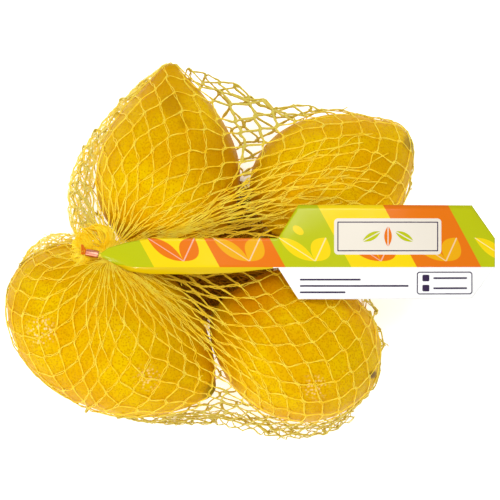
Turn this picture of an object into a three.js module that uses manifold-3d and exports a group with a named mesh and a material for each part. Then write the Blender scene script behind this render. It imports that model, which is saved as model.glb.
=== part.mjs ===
// Net of lemons: four lemons in a knitted tube net, gathered in a metal clip that also
// holds the tail of a printed film label. Millimetres, +Z up, the pack lies on z = 0.
import * as THREE from 'three';
import { mergeVertices } from 'three/addons/utils/BufferGeometryUtils.js';
import Module from 'manifold-3d';

const wasm = await Module();
wasm.setup();

// ---------------------------------------------------------------- driving dimensions

const STRAND = 1.0;        // thickness of the net lying on a lemon
const FLAT_DEPTH = 0.5;    // how far the floor flattens the net under each lemon
const TUCK = 1.3;          // the draped sheet runs this far under the skin of a lemon
const WELD = 0.02;         // edges shorter than this are closed up after a join

// Each lemon lies with its axis level. `belly` is the plan place of its thickest section,
// `heading` the plan angle of its tip in degrees, `tip` and `stem` the lengths of its two
// halves, `taper` the powers [p, q] of r = R (1 - (a / length)^p)^q on each half, `nib` the
// length and radius of the nipple, `skew` how far the tip stands off the axis.
const LEMONS = [
  { belly: [-33.8, 29.3], heading: 88, radius: 29.6, tip: 46.4, stem: 32.0,
    tipTaper: [1.9, 0.95], stemTaper: [2.2, 0.52], nib: [5.0, 4.2], skew: 0.5 },
  { belly: [32.2, 27.7], heading: 11, radius: 27.1, tip: 36.5, stem: 33.0,
    tipTaper: [2.5, 0.62], stemTaper: [2.1, 0.52], nib: [4.6, 4.4], skew: 8.0 },
  { belly: [-57.3, -33.2], heading: -30, radius: 32.0, tip: 49.6, stem: 45.0,
    tipTaper: [2.1, 0.8], stemTaper: [2.3, 0.54], nib: [5.5, 6.0], skew: -1.0 },
  { belly: [18.4, -39.0], heading: 156, radius: 30.3, tip: 36.5, stem: 35.5,
    tipTaper: [2.2, 0.7], stemTaper: [2.3, 0.56], nib: [4.0, 5.0], skew: 1.5 },
];

// Loose spans of the net, as seen in plan, that stand clear of the lemons: [x, y, z].
const SPANS = {
  betweenUpperLemons: [
    [-33.0, 77.4, 29], [-21.2, 75.9, 27], [-7.6, 69.7, 25], [6.8, 62.8, 24], [16.3, 60.3, 24],
    [37.0, 58.7, 24], [51.8, 53.9, 25], [60.0, 48.8, 26], [66.5, 45.7, 27],
  ],
  besideFirstLemon: [
    [-30.6, 77.4, 29], [-45.0, 69.7, 23], [-58.0, 59.1, 16], [-67.0, 47.8, 12],
    [-75.0, 34.9, 11], [-77.0, 19.9, 14], [-75.2, 13.1, 17], [-73.3, 4.8, 22],
  ],
  belowLowerLemons: [
    [-66.7, -65.8, 20], [-58.1, -69.6, 12], [-46.6, -72.1, 8], [-32.3, -73.1, 6],
    [-5.3, -74.2, 4], [12.9, -79.5, 4], [20.6, -80.1, 4], [33.7, -76.9, 4], [43.0, -72.2, 5],
    [48.7, -63.9, 8], [53.7, -53.5, 12], [56.0, -43.3, 15], [54.3, -31.4, 18], [50.2, -19.2, 24],
  ],
  betweenRightLemons: [
    [52.5, -26, 27], [50.4, -12, 28], [51.5, 2, 28], [60.5, 15, 27], [66.5, 26, 27],
  ],
};

const GATHER = new THREE.Vector3(-57.0, -1.4, 50.4);   // where the upper strands meet
const UNDER_GATHER = new THREE.Vector3(-15, -3, 9.5);  // where the lower strands meet

const COLUMNS = 78;        // stations round the draped sheet
const UPPER_ROWS = 16;     // rings from the gather to the edge
const LOWER_ROWS = 9;      // rings from the edge to the lower gather
const SETTLING_PASSES = 600;
const RING_PULL = 0.12;    // tension round the rings against tension along the strands
const LEAST_GAP = 0.5;     // keeps the pull between neighbouring points finite
const SAG = 0.016;         // curvature of the loose net between the lemons, per mm
const HIT_SLACK = 1e-6;    // share of a segment by which a ray may miss its end
const LEMON_SIDES = 24;
const LEMON_RINGS = 16;

// `heading` is the plan angle of a clip's axis in degrees and `rise` the height of the net's
// gather over the clip's middle.
const CLIP = { length: 5.6, boreWidth: 3.0, boreHeight: 2.7, wall: 0.45, swell: 0.2, sides: 26 };
const CLIP_PLACE = { centre: [-62.8, -1.55, 54.4], heading: -10, rise: -1.6 };
const UNDER_CLIP_PLACE = { centre: [-20.5, -3, 4.0], heading: 0, rise: 7 };
const NECK = { width: 2.0, height: 1.1, drop: 0.5 };    // bundle of strands in the clip
const SLEEVE = 0.9;        // the neck keeps its size this far beyond each end of the clip
// The net between a clip and its gather: distance past the sleeve, share of the rise, size
const FUNNEL = [
  { past: 5.5, share: 1, width: 4.0, height: 2.6 },
  { past: 2.1, share: 0.4, width: 3.0, height: 1.7 },
];
const TUFT = { length: 6.0, width: 8.0, height: 3.0, droop: 1.5 };  // cut end of the net
// Shape of the tuft: shares of its length, width, height and droop
const TUFT_SHAPE = [[0.3, 0.6, 0.65, 0], [0.65, 0.9, 1, 0.5], [0.9, 1, 0.9, 1], [1, 0.6, 0.5, 1]];
const BUNDLE_SIDES = 12;
// Net bunched up beside the clip
const RUCK = { centre: [-58.0, 3.4, 47.4], size: [5.6, 4.6, 4.6], sides: 16, rings: 10 };

const FILM = 0.4;          // label thickness
const TAIL_HEIGHT = CLIP_PLACE.centre[2] + 0.6;  // label tail above the strands in the clip
// Label stations: x, upper edge y, fold line y, lower edge y, height z, drop of lower edge
const LABEL_STATIONS = [
  [-67.0, 1.0, -1.3, -2.4, TAIL_HEIGHT, 0],
  [-65.9, -0.3, -1.4, -1.75, TAIL_HEIGHT, 0],
  [-59.3, -1.45, -2.55, -2.86, TAIL_HEIGHT, 0],
  [-56.5, 0.6, -3.6, -4.4, 55.2, 0.3],
  [-48.7, 2.9, -6.6, -8.6, 55.8, 1.4],
  [-40.0, 4.5, -7.0, -9.8, 56.4, 2.2],
  [-20.0, 4.5, -7.0, -9.9, 57.4, 2.3],
  [-6.0, 4.5, -7.0, -9.2, 57.9, 1.6],
  [10.9, 4.5, -7.0, -7.2, 58.4, 0],
  [18.9, 17.6, -7.0, -19.6, 58.6, 0.2],
  [45.0, 17.6, -7.0, -19.6, 58.6, 0.4],
  [68.0, 17.6, -7.0, -19.6, 57.2, 0.3],
  [88.0, 17.6, -7.0, -19.6, 53.6, 0],
  [97.4, 4.5, -7.0, -7.4, 51.3, 0],
];
const LABEL_TAIL = 2;      // index of the station where the level tail leaves the clip
const LABEL_STEP = 3.5;    // length of film between cross-sections
const LABEL_ACROSS = 6;    // strips across the film, three each side of the fold line
const LABEL_BEND = 6;      // reach of the smoothing of its height along it

const CUT = { width: 400, depth: 40 };  // block below the floor that flattens the net

const COLOURS = { net: 0xf2c21a, clip: 0xc98a5a, label: 0xe9c83a };

// ------------------------------------------------------------------------- utilities

const radians = (degrees) => degrees * Math.PI / 180;

/** A closed mesh of vertices and triangle indices as a geometry. */
function closedGeometry(positions, indices) {
  const geometry = new THREE.BufferGeometry();
  geometry.setAttribute('position', new THREE.Float32BufferAttribute(positions, 3));
  geometry.setIndex(indices);
  geometry.computeVertexNormals();
  return geometry;
}

/** A three.js geometry as a solid that can be joined and cut. */
function toSolid(geometry) {
  const bare = geometry.clone();
  bare.deleteAttribute('normal');
  bare.deleteAttribute('uv');
  const merged = mergeVertices(bare, 1e-4);
  return new wasm.Manifold(new wasm.Mesh({
    numProp: 3,
    vertProperties: new Float32Array(merged.attributes.position.array),
    triVerts: new Uint32Array(merged.index.array),
  }));
}

/** A solid back as a three.js geometry, with its shortest edges closed up. */
function fromSolid(solid) {
  const { vertProperties, triVerts } = solid.getMesh();
  const bare = closedGeometry(Array.from(vertProperties), Array.from(triVerts));
  bare.deleteAttribute('normal');
  const welded = mergeVertices(bare, WELD);
  const index = welded.index.array;
  const kept = [];
  for (let k = 0; k < index.length; k += 3) {
    const [a, b, c] = index.slice(k, k + 3);
    if (a !== b && b !== c && c !== a) kept.push(a, b, c);
  }
  return closedGeometry(Array.from(welded.attributes.position.array), kept);
}

function namedMesh(name, geometry, colour, roughness, metalness = 0) {
  const material = new THREE.MeshStandardMaterial({ color: colour, roughness, metalness });
  const mesh = new THREE.Mesh(geometry, material);
  mesh.name = name;
  return mesh;
}

// ---------------------------------------------------------------------------- lemons

/** Radius of a lemon at the distance `a` along its axis, positive towards the tip. */
function lemonRadius(lemon, a) {
  const [length, [p, q]] = a > 0 ? [lemon.tip, lemon.tipTaper] : [lemon.stem, lemon.stemTaper];
  const share = Math.min(Math.abs(a) / length, 1);
  const body = lemon.radius * (1 - share ** p) ** q;
  if (a <= 0) return body;
  const [nibLength, nibRadius] = lemon.nib;
  const along = (a - (length - nibLength)) / nibLength;
  const nib = Math.abs(along) < 1 ? nibRadius * Math.sqrt(1 - along * along) : 0;
  return Math.max(body, nib);
}

/** Sideways shift of a lemon's axis at the distance `a`. */
function lemonShift(lemon, a) {
  const share = THREE.MathUtils.smoothstep(a / lemon.tip, 0.45, 1);
  return lemon.skew * share * share;
}

const lemonHeight = (lemon) => lemon.radius + STRAND - FLAT_DEPTH;

/** Plan point at the distance `a` along a lemon's axis and `b` across it. */
function lemonPlan(lemon, a, b) {
  const angle = radians(lemon.heading);
  return [
    lemon.belly[0] + a * Math.cos(angle) - b * Math.sin(angle),
    lemon.belly[1] + a * Math.sin(angle) + b * Math.cos(angle),
  ];
}

/** Half the height of a lemon above a plan point, or 0 outside it. */
function lemonHalfHeight(lemon, x, y, inset) {
  const angle = radians(lemon.heading);
  const dx = x - lemon.belly[0];
  const dy = y - lemon.belly[1];
  const a = dx * Math.cos(angle) + dy * Math.sin(angle);
  const b = -dx * Math.sin(angle) + dy * Math.cos(angle) - lemonShift(lemon, a);
  if (a > lemon.tip - inset || a < inset - lemon.stem) return 0;
  const radius = lemonRadius(lemon, a) - inset;
  return radius > Math.abs(b) ? Math.sqrt(radius * radius - b * b) : 0;
}

/** Distances along a lemon's axis, closer together towards its ends. */
function lemonStations(lemon) {
  const stations = [];
  for (let ring = 0; ring <= LEMON_RINGS; ring += 1) {
    const turn = Math.cos(Math.PI * ring / LEMON_RINGS);
    stations.push(turn > 0 ? turn * lemon.tip : turn * lemon.stem);
  }
  return stations;
}

/** One lemon with the net's thickness on its skin, as a solid in its place. */
function lemonSolid(lemon) {
  const grow = 1 + STRAND / lemon.radius;
  const profile = lemonStations(lemon).map(
    (a) => new THREE.Vector2(lemonRadius(lemon, a) * grow, a * grow));
  profile[0].x = 0;
  profile[profile.length - 1].x = 0;
  const geometry = new THREE.LatheGeometry(profile, LEMON_SIDES);
  const points = geometry.attributes.position;
  const lift = lemonHeight(lemon);
  for (let i = 0; i < points.count; i += 1) {
    const a = points.getY(i);
    const b = points.getX(i) + lemonShift(lemon, a);
    const [x, y] = lemonPlan(lemon, a, b);
    points.setXYZ(i, x, y, points.getZ(i) + lift);
  }
  return toSolid(geometry);
}

/** Outline of a lemon seen in plan, drawn in by `inset`. */
function lemonSilhouette(lemon, inset) {
  const shrink = 1 - inset / lemon.radius;
  const upper = [];
  const lower = [];
  for (const a of lemonStations(lemon)) {
    const shift = lemonShift(lemon, a);
    const half = lemonRadius(lemon, a) * shrink;
    const height = lemonHeight(lemon);
    upper.push([...lemonPlan(lemon, a * shrink, shift + half), height]);
    lower.unshift([...lemonPlan(lemon, a * shrink, shift - half), height]);
  }
  return [...upper, ...lower, upper[0]];
}

// --------------------------------------------------------------------- draped sheet

/** Loose span as a smooth line of points. */
function spanLine(points) {
  const curve = new THREE.CatmullRomCurve3(points.map((p) => new THREE.Vector3(...p)));
  return curve.getPoints(points.length * 5).map((p) => [p.x, p.y, p.z]);
}

/** The farthest crossing of a plan ray from the gather with any of the lines. */
function farthestCrossing(angle, lines) {
  const ux = Math.cos(angle);
  const uy = Math.sin(angle);
  let best = null;
  for (const line of lines) {
    for (let k = 1; k < line.length; k += 1) {
      const [p, q] = [line[k - 1], line[k]];
      const [px, py] = [p[0] - GATHER.x, p[1] - GATHER.y];
      const [ex, ey] = [q[0] - p[0], q[1] - p[1]];
      const cross = ux * ey - uy * ex;
      if (Math.abs(cross) < 1e-9) continue;
      const share = (uy * px - ux * py) / cross;
      if (Math.abs(share - 0.5) > 0.5 + HIT_SLACK) continue;
      const reach = (px + share * ex) * ux + (py + share * ey) * uy;
      if (reach > (best ? best.reach : 0)) {
        best = { reach, height: p[2] + share * (q[2] - p[2]) };
      }
    }
  }
  return new THREE.Vector3(
    GATHER.x + ux * best.reach, GATHER.y + uy * best.reach, best.height);
}

/** The sheet's edge in plan: evenly spaced points, anticlockwise. */
function sheetEdge() {
  const lines = LEMONS.map((lemon) => lemonSilhouette(lemon, TUCK));
  for (const points of Object.values(SPANS)) lines.push(spanLine(points));
  const raw = [];
  const samples = COLUMNS * 12;
  for (let k = 0; k < samples; k += 1) {
    raw.push(farthestCrossing(2 * Math.PI * k / samples, lines));
  }
  const curve = new THREE.CatmullRomCurve3(raw, true, 'centripetal');
  curve.arcLengthDivisions = samples;
  return curve.getSpacedPoints(COLUMNS).slice(0, COLUMNS);
}

/** Plan distance between two points. */
const planGap = (a, b) => Math.hypot(a.x - b.x, a.y - b.y);

/** Relaxes ring heights like a stretched, sagging sheet, kept off the lemons by `limit`. */
function settle(rows, sag, limit) {
  for (let pass = 0; pass < SETTLING_PASSES; pass += 1) {
    for (let row = 1; row < rows.length - 1; row += 1) {
      for (let i = 0; i < COLUMNS; i += 1) {
        const point = rows[row][i];
        const left = rows[row][(i + COLUMNS - 1) % COLUMNS];
        const right = rows[row][(i + 1) % COLUMNS];
        const inner = rows[row - 1][i % rows[row - 1].length];
        const outer = rows[row + 1][i % rows[row + 1].length];
        let weight = 0;
        let height = 0;
        for (const [other, pull] of [[left, RING_PULL], [right, RING_PULL], [inner, 1], [outer, 1]]) {
          const stiffness = pull / (planGap(other, point) + LEAST_GAP);
          weight += stiffness;
          height += stiffness * other.z;
        }
        const drop = 0.5 * sag * planGap(inner, point) * planGap(outer, point);
        point.z = limit(point.x, point.y, height / weight - drop);
      }
    }
  }
}

/** Rings of points from a gather out to the edge. */
function sheetRings(centre, edge, count) {
  const rings = [[centre.clone()]];
  for (let ring = 1; ring < count; ring += 1) {
    const share = Math.sin(0.5 * Math.PI * ring / count);
    rings.push(edge.map((point) => centre.clone().lerp(point, share)));
  }
  rings.push(edge);
  return rings;
}

function overLemons(x, y, height) {
  return LEMONS.reduce((z, lemon) => {
    const half = lemonHalfHeight(lemon, x, y, TUCK);
    return half > 0 ? Math.max(z, lemonHeight(lemon) + half) : z;
  }, height);
}

function underLemons(x, y, height) {
  const lowest = LEMONS.reduce((z, lemon) => {
    const half = lemonHalfHeight(lemon, x, y, TUCK);
    return half > 0 ? Math.min(z, lemonHeight(lemon) - half) : z;
  }, height);
  return Math.max(lowest, 0);
}

/** The net as a stretched sheet over and under the lemons, as one closed solid. */
function sheetSolid() {
  const edge = sheetEdge();
  const upper = sheetRings(GATHER, edge, UPPER_ROWS);
  const lower = sheetRings(UNDER_GATHER, edge, LOWER_ROWS);
  settle(upper, SAG, overLemons);
  settle(lower, 0, underLemons);

  const rings = [...upper, ...lower.slice(0, -1).reverse()];
  const positions = [];
  const starts = rings.map((ring) => {
    const start = positions.length / 3;
    ring.forEach((point) => positions.push(point.x, point.y, point.z));
    return start;
  });
  const indices = [];
  for (let row = 1; row < rings.length; row += 1) {
    for (let i = 0; i < COLUMNS; i += 1) {
      const next = (i + 1) % COLUMNS;
      const [a, b] = [rings[row - 1].length, rings[row].length].map((n) => (n === 1 ? 0 : 1));
      const innerHere = starts[row - 1] + a * i;
      const innerNext = starts[row - 1] + a * next;
      const outerHere = starts[row] + b * i;
      const outerNext = starts[row] + b * next;
      if (b) indices.push(innerHere, outerHere, outerNext);
      if (a) indices.push(innerHere, outerNext, innerNext);
    }
  }
  return toSolid(closedGeometry(positions, indices));
}

// ------------------------------------------------------------------ gathers and clips

/** Places geometry made along +X at the origin, turned and moved to a clip. */
const atClip = (geometry, place) => geometry
  .rotateZ(radians(place.heading))
  .translate(...place.centre);

/** A solid through oval sections [x, z, width, height], all square to the X axis. */
function ovalLoft(sections, sides) {
  const positions = [];
  for (const [x, z, width, height] of sections) {
    for (let i = 0; i < sides; i += 1) {
      const turn = 2 * Math.PI * i / sides;
      positions.push(x, Math.cos(turn) * width / 2, z + Math.sin(turn) * height / 2);
    }
  }
  const [first, last] = [sections[0], sections.at(-1)];
  positions.push(first[0], 0, first[1], last[0], 0, last[1]);
  const indices = [];
  const end = sections.length - 1;
  for (let i = 0; i < sides; i += 1) {
    const next = (i + 1) % sides;
    for (let k = 0; k < end; k += 1) {
      const [near, far] = [k * sides, (k + 1) * sides];
      indices.push(near + i, far + next, far + i, near + i, near + next, far + next);
    }
    indices.push((end + 1) * sides, next, i);
    indices.push((end + 1) * sides + 1, end * sides + i, end * sides + next);
  }
  return closedGeometry(positions, indices);
}

/** Strands from the gather through a clip to their cut, spread end. */
function bundleSolid(place) {
  const end = CLIP.length / 2 + SLEEVE;
  const sections = [
    ...FUNNEL.map(({ past, share, width, height }) => (
      [end + past, place.rise * share - NECK.drop, width, height])),
    [end, -NECK.drop, NECK.width, NECK.height],
    [-end, -NECK.drop, NECK.width, NECK.height],
    ...TUFT_SHAPE.map(([reach, width, height, droop]) => [
      -end - TUFT.length * reach, -NECK.drop - TUFT.droop * droop,
      TUFT.width * width, TUFT.height * height]),
  ].reverse();
  return toSolid(atClip(ovalLoft(sections, BUNDLE_SIDES), place));
}

/** Net bunched up beside the clip. */
function ruckSolid() {
  const geometry = new THREE.SphereGeometry(1, RUCK.sides, RUCK.rings);
  geometry.scale(...RUCK.size);
  geometry.translate(...RUCK.centre);
  return toSolid(geometry);
}

/** Rolled metal band, a short oval tube with rounded lips. */
function clipGeometry(place) {
  const half = CLIP.length / 2;
  const lip = CLIP.wall / 2;
  const outer = 1 + CLIP.wall;
  const profile = [
    [1, -half + lip], [1 + lip, -half], [outer, -half + lip], [outer + CLIP.swell, -half * 0.5],
    [outer + CLIP.swell, half * 0.5], [outer, half - lip], [1 + lip, half], [1, half - lip],
  ];
  profile.push(profile[0]);
  const geometry = new THREE.LatheGeometry(
    profile.map(([r, h]) => new THREE.Vector2(r, h)), CLIP.sides);
  const points = geometry.attributes.position;
  for (let i = 0; i < points.count; i += 1) {
    const [x, h, z] = [points.getX(i), points.getY(i), points.getZ(i)];
    const turn = Math.atan2(z, x);
    const beyond = Math.hypot(x, z) - 1;
    points.setXYZ(
      i, -h,
      Math.cos(turn) * (CLIP.boreWidth / 2 + beyond),
      Math.sin(turn) * (CLIP.boreHeight / 2 + beyond));
  }
  return atClip(geometry, place);
}

// ----------------------------------------------------------------------------- label

/** Label measures at a distance along it, from the stations on each side. */
function labelSection(x) {
  const last = LABEL_STATIONS.length - 1;
  let k = 1;
  while (k < last && x > LABEL_STATIONS[k][0]) k += 1;
  const [from, to] = [LABEL_STATIONS[k - 1], LABEL_STATIONS[k]];
  const share = (x - from[0]) / (to[0] - from[0]);
  return from.map((value, i) => value + share * (to[i] - value));
}

/** Smoothed height of the film, so that it bends without creases. */
function labelHeight(x) {
  const [first, last] = [LABEL_STATIONS[0][0], LABEL_STATIONS.at(-1)[0]];
  let sum = 0;
  const taps = [-1, -0.5, 0, 0.5, 1];
  for (const tap of taps) {
    const at = THREE.MathUtils.clamp(x + tap * LABEL_BEND, first, last);
    sum += labelSection(at)[4];
  }
  return x < LABEL_STATIONS[LABEL_TAIL][0] ? labelSection(x)[4] : sum / taps.length;
}

/** Positions along the label of its cross-sections. */
function labelCuts() {
  const cuts = [];
  for (let k = 1; k < LABEL_STATIONS.length; k += 1) {
    const [from, to] = [LABEL_STATIONS[k - 1][0], LABEL_STATIONS[k][0]];
    const pieces = Math.ceil((to - from) / LABEL_STEP);
    for (let i = 0; i < pieces; i += 1) cuts.push(from + (to - from) * i / pieces);
  }
  return [...cuts, LABEL_STATIONS.at(-1)[0]];
}

/** The film label: a thin sheet with a turned-down lower edge, as a closed solid. */
function labelGeometry() {
  const half = LABEL_ACROSS / 2;
  const positions = [];
  const cuts = labelCuts();
  for (const x of cuts) {
    const [, top, fold, bottom, , drop] = labelSection(x);
    const height = labelHeight(x);
    for (let i = 0; i <= LABEL_ACROSS; i += 1) {
      const above = i <= half;
      const share = above ? i / half : (i - half) / half;
      const y = above ? top + (fold - top) * share : fold + (bottom - fold) * share;
      const z = height - (above ? 0 : drop * share);
      positions.push(x, y, z + FILM / 2, x, y, z - FILM / 2);
    }
  }
  const across = LABEL_ACROSS + 1;
  const index = (cut, i, side) => 2 * (cut * across + i) + side;
  const indices = [];
  const quad = (a, b, c, d) => indices.push(a, b, c, a, c, d);
  for (let cut = 1; cut < cuts.length; cut += 1) {
    for (let i = 1; i < across; i += 1) {
      quad(index(cut - 1, i, 0), index(cut, i, 0), index(cut, i - 1, 0), index(cut - 1, i - 1, 0));
      quad(index(cut - 1, i - 1, 1), index(cut, i - 1, 1), index(cut, i, 1), index(cut - 1, i, 1));
    }
    for (const [i, far] of [[0, 1], [across - 1, 0]]) {
      const [p, q] = far ? [cut - 1, cut] : [cut, cut - 1];
      quad(index(p, i, 0), index(q, i, 0), index(q, i, 1), index(p, i, 1));
    }
  }
  for (let i = 1; i < across; i += 1) {
    const end = cuts.length - 1;
    quad(index(0, i, 1), index(0, i, 0), index(0, i - 1, 0), index(0, i - 1, 1));
    quad(index(end, i - 1, 1), index(end, i - 1, 0), index(end, i, 0), index(end, i, 1));
  }
  return closedGeometry(positions, indices);
}

// -------------------------------------------------------------------------- the pack

/** The net with the lemons in it, cut flat where it stands on the floor. */
function netGeometry() {
  let solid = sheetSolid();
  for (const lemon of LEMONS) solid = solid.add(lemonSolid(lemon));
  solid = solid.add(ruckSolid());
  for (const place of [CLIP_PLACE, UNDER_CLIP_PLACE]) solid = solid.add(bundleSolid(place));
  const floor = new THREE.BoxGeometry(CUT.width, CUT.width, CUT.depth);
  floor.translate(0, 0, -CUT.depth / 2);
  return fromSolid(solid.subtract(toSolid(floor)));
}

const group = new THREE.Group();
group.add(namedMesh('net', netGeometry(), COLOURS.net, 0.5));
group.add(namedMesh('clip', clipGeometry(CLIP_PLACE), COLOURS.clip, 0.3, 1));
group.add(namedMesh('clip_under', clipGeometry(UNDER_CLIP_PLACE), COLOURS.clip, 0.3, 1));
group.add(namedMesh('label', labelGeometry(), COLOURS.label, 0.25));

// The pack's frame has its origin at the middle of its underside.
const middle = new THREE.Box3().setFromObject(group).getCenter(new THREE.Vector3());
group.position.set(-middle.x, -middle.y, 0);
group.updateMatrixWorld(true);

export default group;
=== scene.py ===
"""Net of lemons: four lemons in a knitted tube net, gathered in a rolled metal clip.

The clip also holds the tail of a glossy film label that lies across the pack. Shapes are
worked out in millimetres in the pack's design coordinates and moved into the row frame, in
metres, when a mesh is finished.
"""

from __future__ import annotations

import logging
import math
from dataclasses import dataclass
from enum import Enum
from functools import cache
from typing import ClassVar, Sequence

import bmesh
import bpy
import numpy as np
from mathutils import Matrix, Vector
from mathutils.kdtree import KDTree

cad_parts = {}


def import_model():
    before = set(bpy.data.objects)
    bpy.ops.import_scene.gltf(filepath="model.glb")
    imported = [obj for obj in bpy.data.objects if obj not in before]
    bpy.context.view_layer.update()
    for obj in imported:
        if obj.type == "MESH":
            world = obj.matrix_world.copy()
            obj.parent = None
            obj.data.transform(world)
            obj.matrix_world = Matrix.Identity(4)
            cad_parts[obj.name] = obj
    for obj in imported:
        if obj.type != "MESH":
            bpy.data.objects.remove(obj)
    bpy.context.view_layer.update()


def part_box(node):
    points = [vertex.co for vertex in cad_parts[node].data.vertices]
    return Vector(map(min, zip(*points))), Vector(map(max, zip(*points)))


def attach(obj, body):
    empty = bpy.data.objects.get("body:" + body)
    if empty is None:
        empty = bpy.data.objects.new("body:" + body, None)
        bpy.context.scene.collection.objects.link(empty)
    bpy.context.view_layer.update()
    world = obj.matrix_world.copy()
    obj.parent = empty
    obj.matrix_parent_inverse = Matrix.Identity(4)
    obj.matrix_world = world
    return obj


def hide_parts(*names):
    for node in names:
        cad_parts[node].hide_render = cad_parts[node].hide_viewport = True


LOG = logging.getLogger("net_of_lemons")

MM = 0.001
BODY = "root"
SEED = 20

Array = np.ndarray
Random = np.random.Generator
Socket = bpy.types.NodeSocket
Material = bpy.types.Material
Pair = tuple[float, float]
Place = tuple[float, float, float]
Four = tuple[float, float, float, float]
Colour = Four

# Clip place in the design's coordinates, which ties them to the row frame.
CLIP_CENTRE: Place = (-62.8, -1.55, 54.4)
CLIP_HEADING = -10.0
UNDER_CLIP_CENTRE: Place = (-20.5, -3.0, 4.0)


class Slot(Enum):
    """Material slots of the record for the pieces' finishes."""

    STRANDS = "net_strands"
    RIND = "lemon_rind"
    METAL = "clip_metal"
    FILM = "label_film"


class FilmSide(Enum):
    """The two faces of the label film, as material indices."""

    PRINTED = 0
    PLAIN = 1


# ---- colour ----


def linear(red: float, green: float, blue: float) -> Colour:
    """Turn a display colour into a scene-linear one.

    Args:
        red: Red, 0 to 255.
        green: Green, 0 to 255.
        blue: Blue, 0 to 255.

    Returns:
        The colour as linear red, green, blue and an alpha of 1.
    """
    channels = []
    for value in (red, green, blue):
        share = value / 255
        low = share <= 0.04045
        channels.append(share / 12.92 if low else ((share + 0.055) / 1.055) ** 2.4)
    return (*channels, 1.0)


# ---- row frame and meshes ----


@cache
def row_shift() -> Array:
    """Shift from the design's coordinates to the row frame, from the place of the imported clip."""
    low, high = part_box("clip")
    middle = (np.array(low) + np.array(high)) / 2 / MM
    shift = middle - CLIP_CENTRE
    shift[2] = 0.0
    return shift


def to_row(points: Array | Sequence[float]) -> Array:
    """Move design points in millimetres into the row frame in metres."""
    return (np.asarray(points) + row_shift()) * MM


def link(item: bpy.types.Object) -> None:
    """Link an object to the scene."""
    bpy.context.scene.collection.objects.link(item)


def vertex_array(mesh: bpy.types.Mesh, attribute: str = "co") -> Array:
    """Read a vertex attribute of three numbers as an array of rows."""
    values = np.empty(len(mesh.vertices) * 3)
    mesh.vertices.foreach_get(attribute, values)
    return values.reshape(-1, 3)


def write_vertices(mesh: bpy.types.Mesh, points: Array) -> None:
    """Write vertex places from an array of rows."""
    mesh.vertices.foreach_set("co", np.ascontiguousarray(points).ravel())
    mesh.update()


def mesh_from(bm: bmesh.types.BMesh, name: str, smooth: bool = True) -> bpy.types.Mesh:
    """Turn a bmesh into a mesh and free it.

    Args:
        bm: The shape, still in millimetres.
        name: Name of the new mesh.
        smooth: Whether its faces are shaded smooth.

    Returns:
        The new mesh.
    """
    mesh = bpy.data.meshes.new(name)
    bm.to_mesh(mesh)
    bm.free()
    mesh.polygons.foreach_set("use_smooth", [smooth] * len(mesh.polygons))
    return mesh


def paint_vertices(mesh: bpy.types.Mesh, name: str, *channels: Array) -> None:
    """Keep three values of every vertex as a colour attribute."""
    values = np.column_stack([*channels, np.ones(len(mesh.vertices))])
    layer = mesh.attributes.new(name, "FLOAT_COLOR", "POINT")
    layer.data.foreach_set("color", np.ascontiguousarray(values, dtype=np.float32).ravel())


def add_piece(mesh: bpy.types.Mesh, slot: Slot, node: str, *materials: Material) -> None:
    """Link a finished mesh as a piece of the pack.

    Args:
        mesh: The mesh, in metres in the row frame, under the piece's name.
        slot: Record slot of its finish; not used.
        node: CAD node that the piece replaces.
        materials: Its materials, in the order of their face indices.
    """
    for material in materials:
        mesh.materials.append(material)
    piece = bpy.data.objects.new(mesh.name, mesh)
    link(piece)
    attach(piece, BODY)
    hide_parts(node)
    LOG.info("%s: %d faces", piece.name, len(mesh.polygons))


# ---- shader nodes ----


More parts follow.
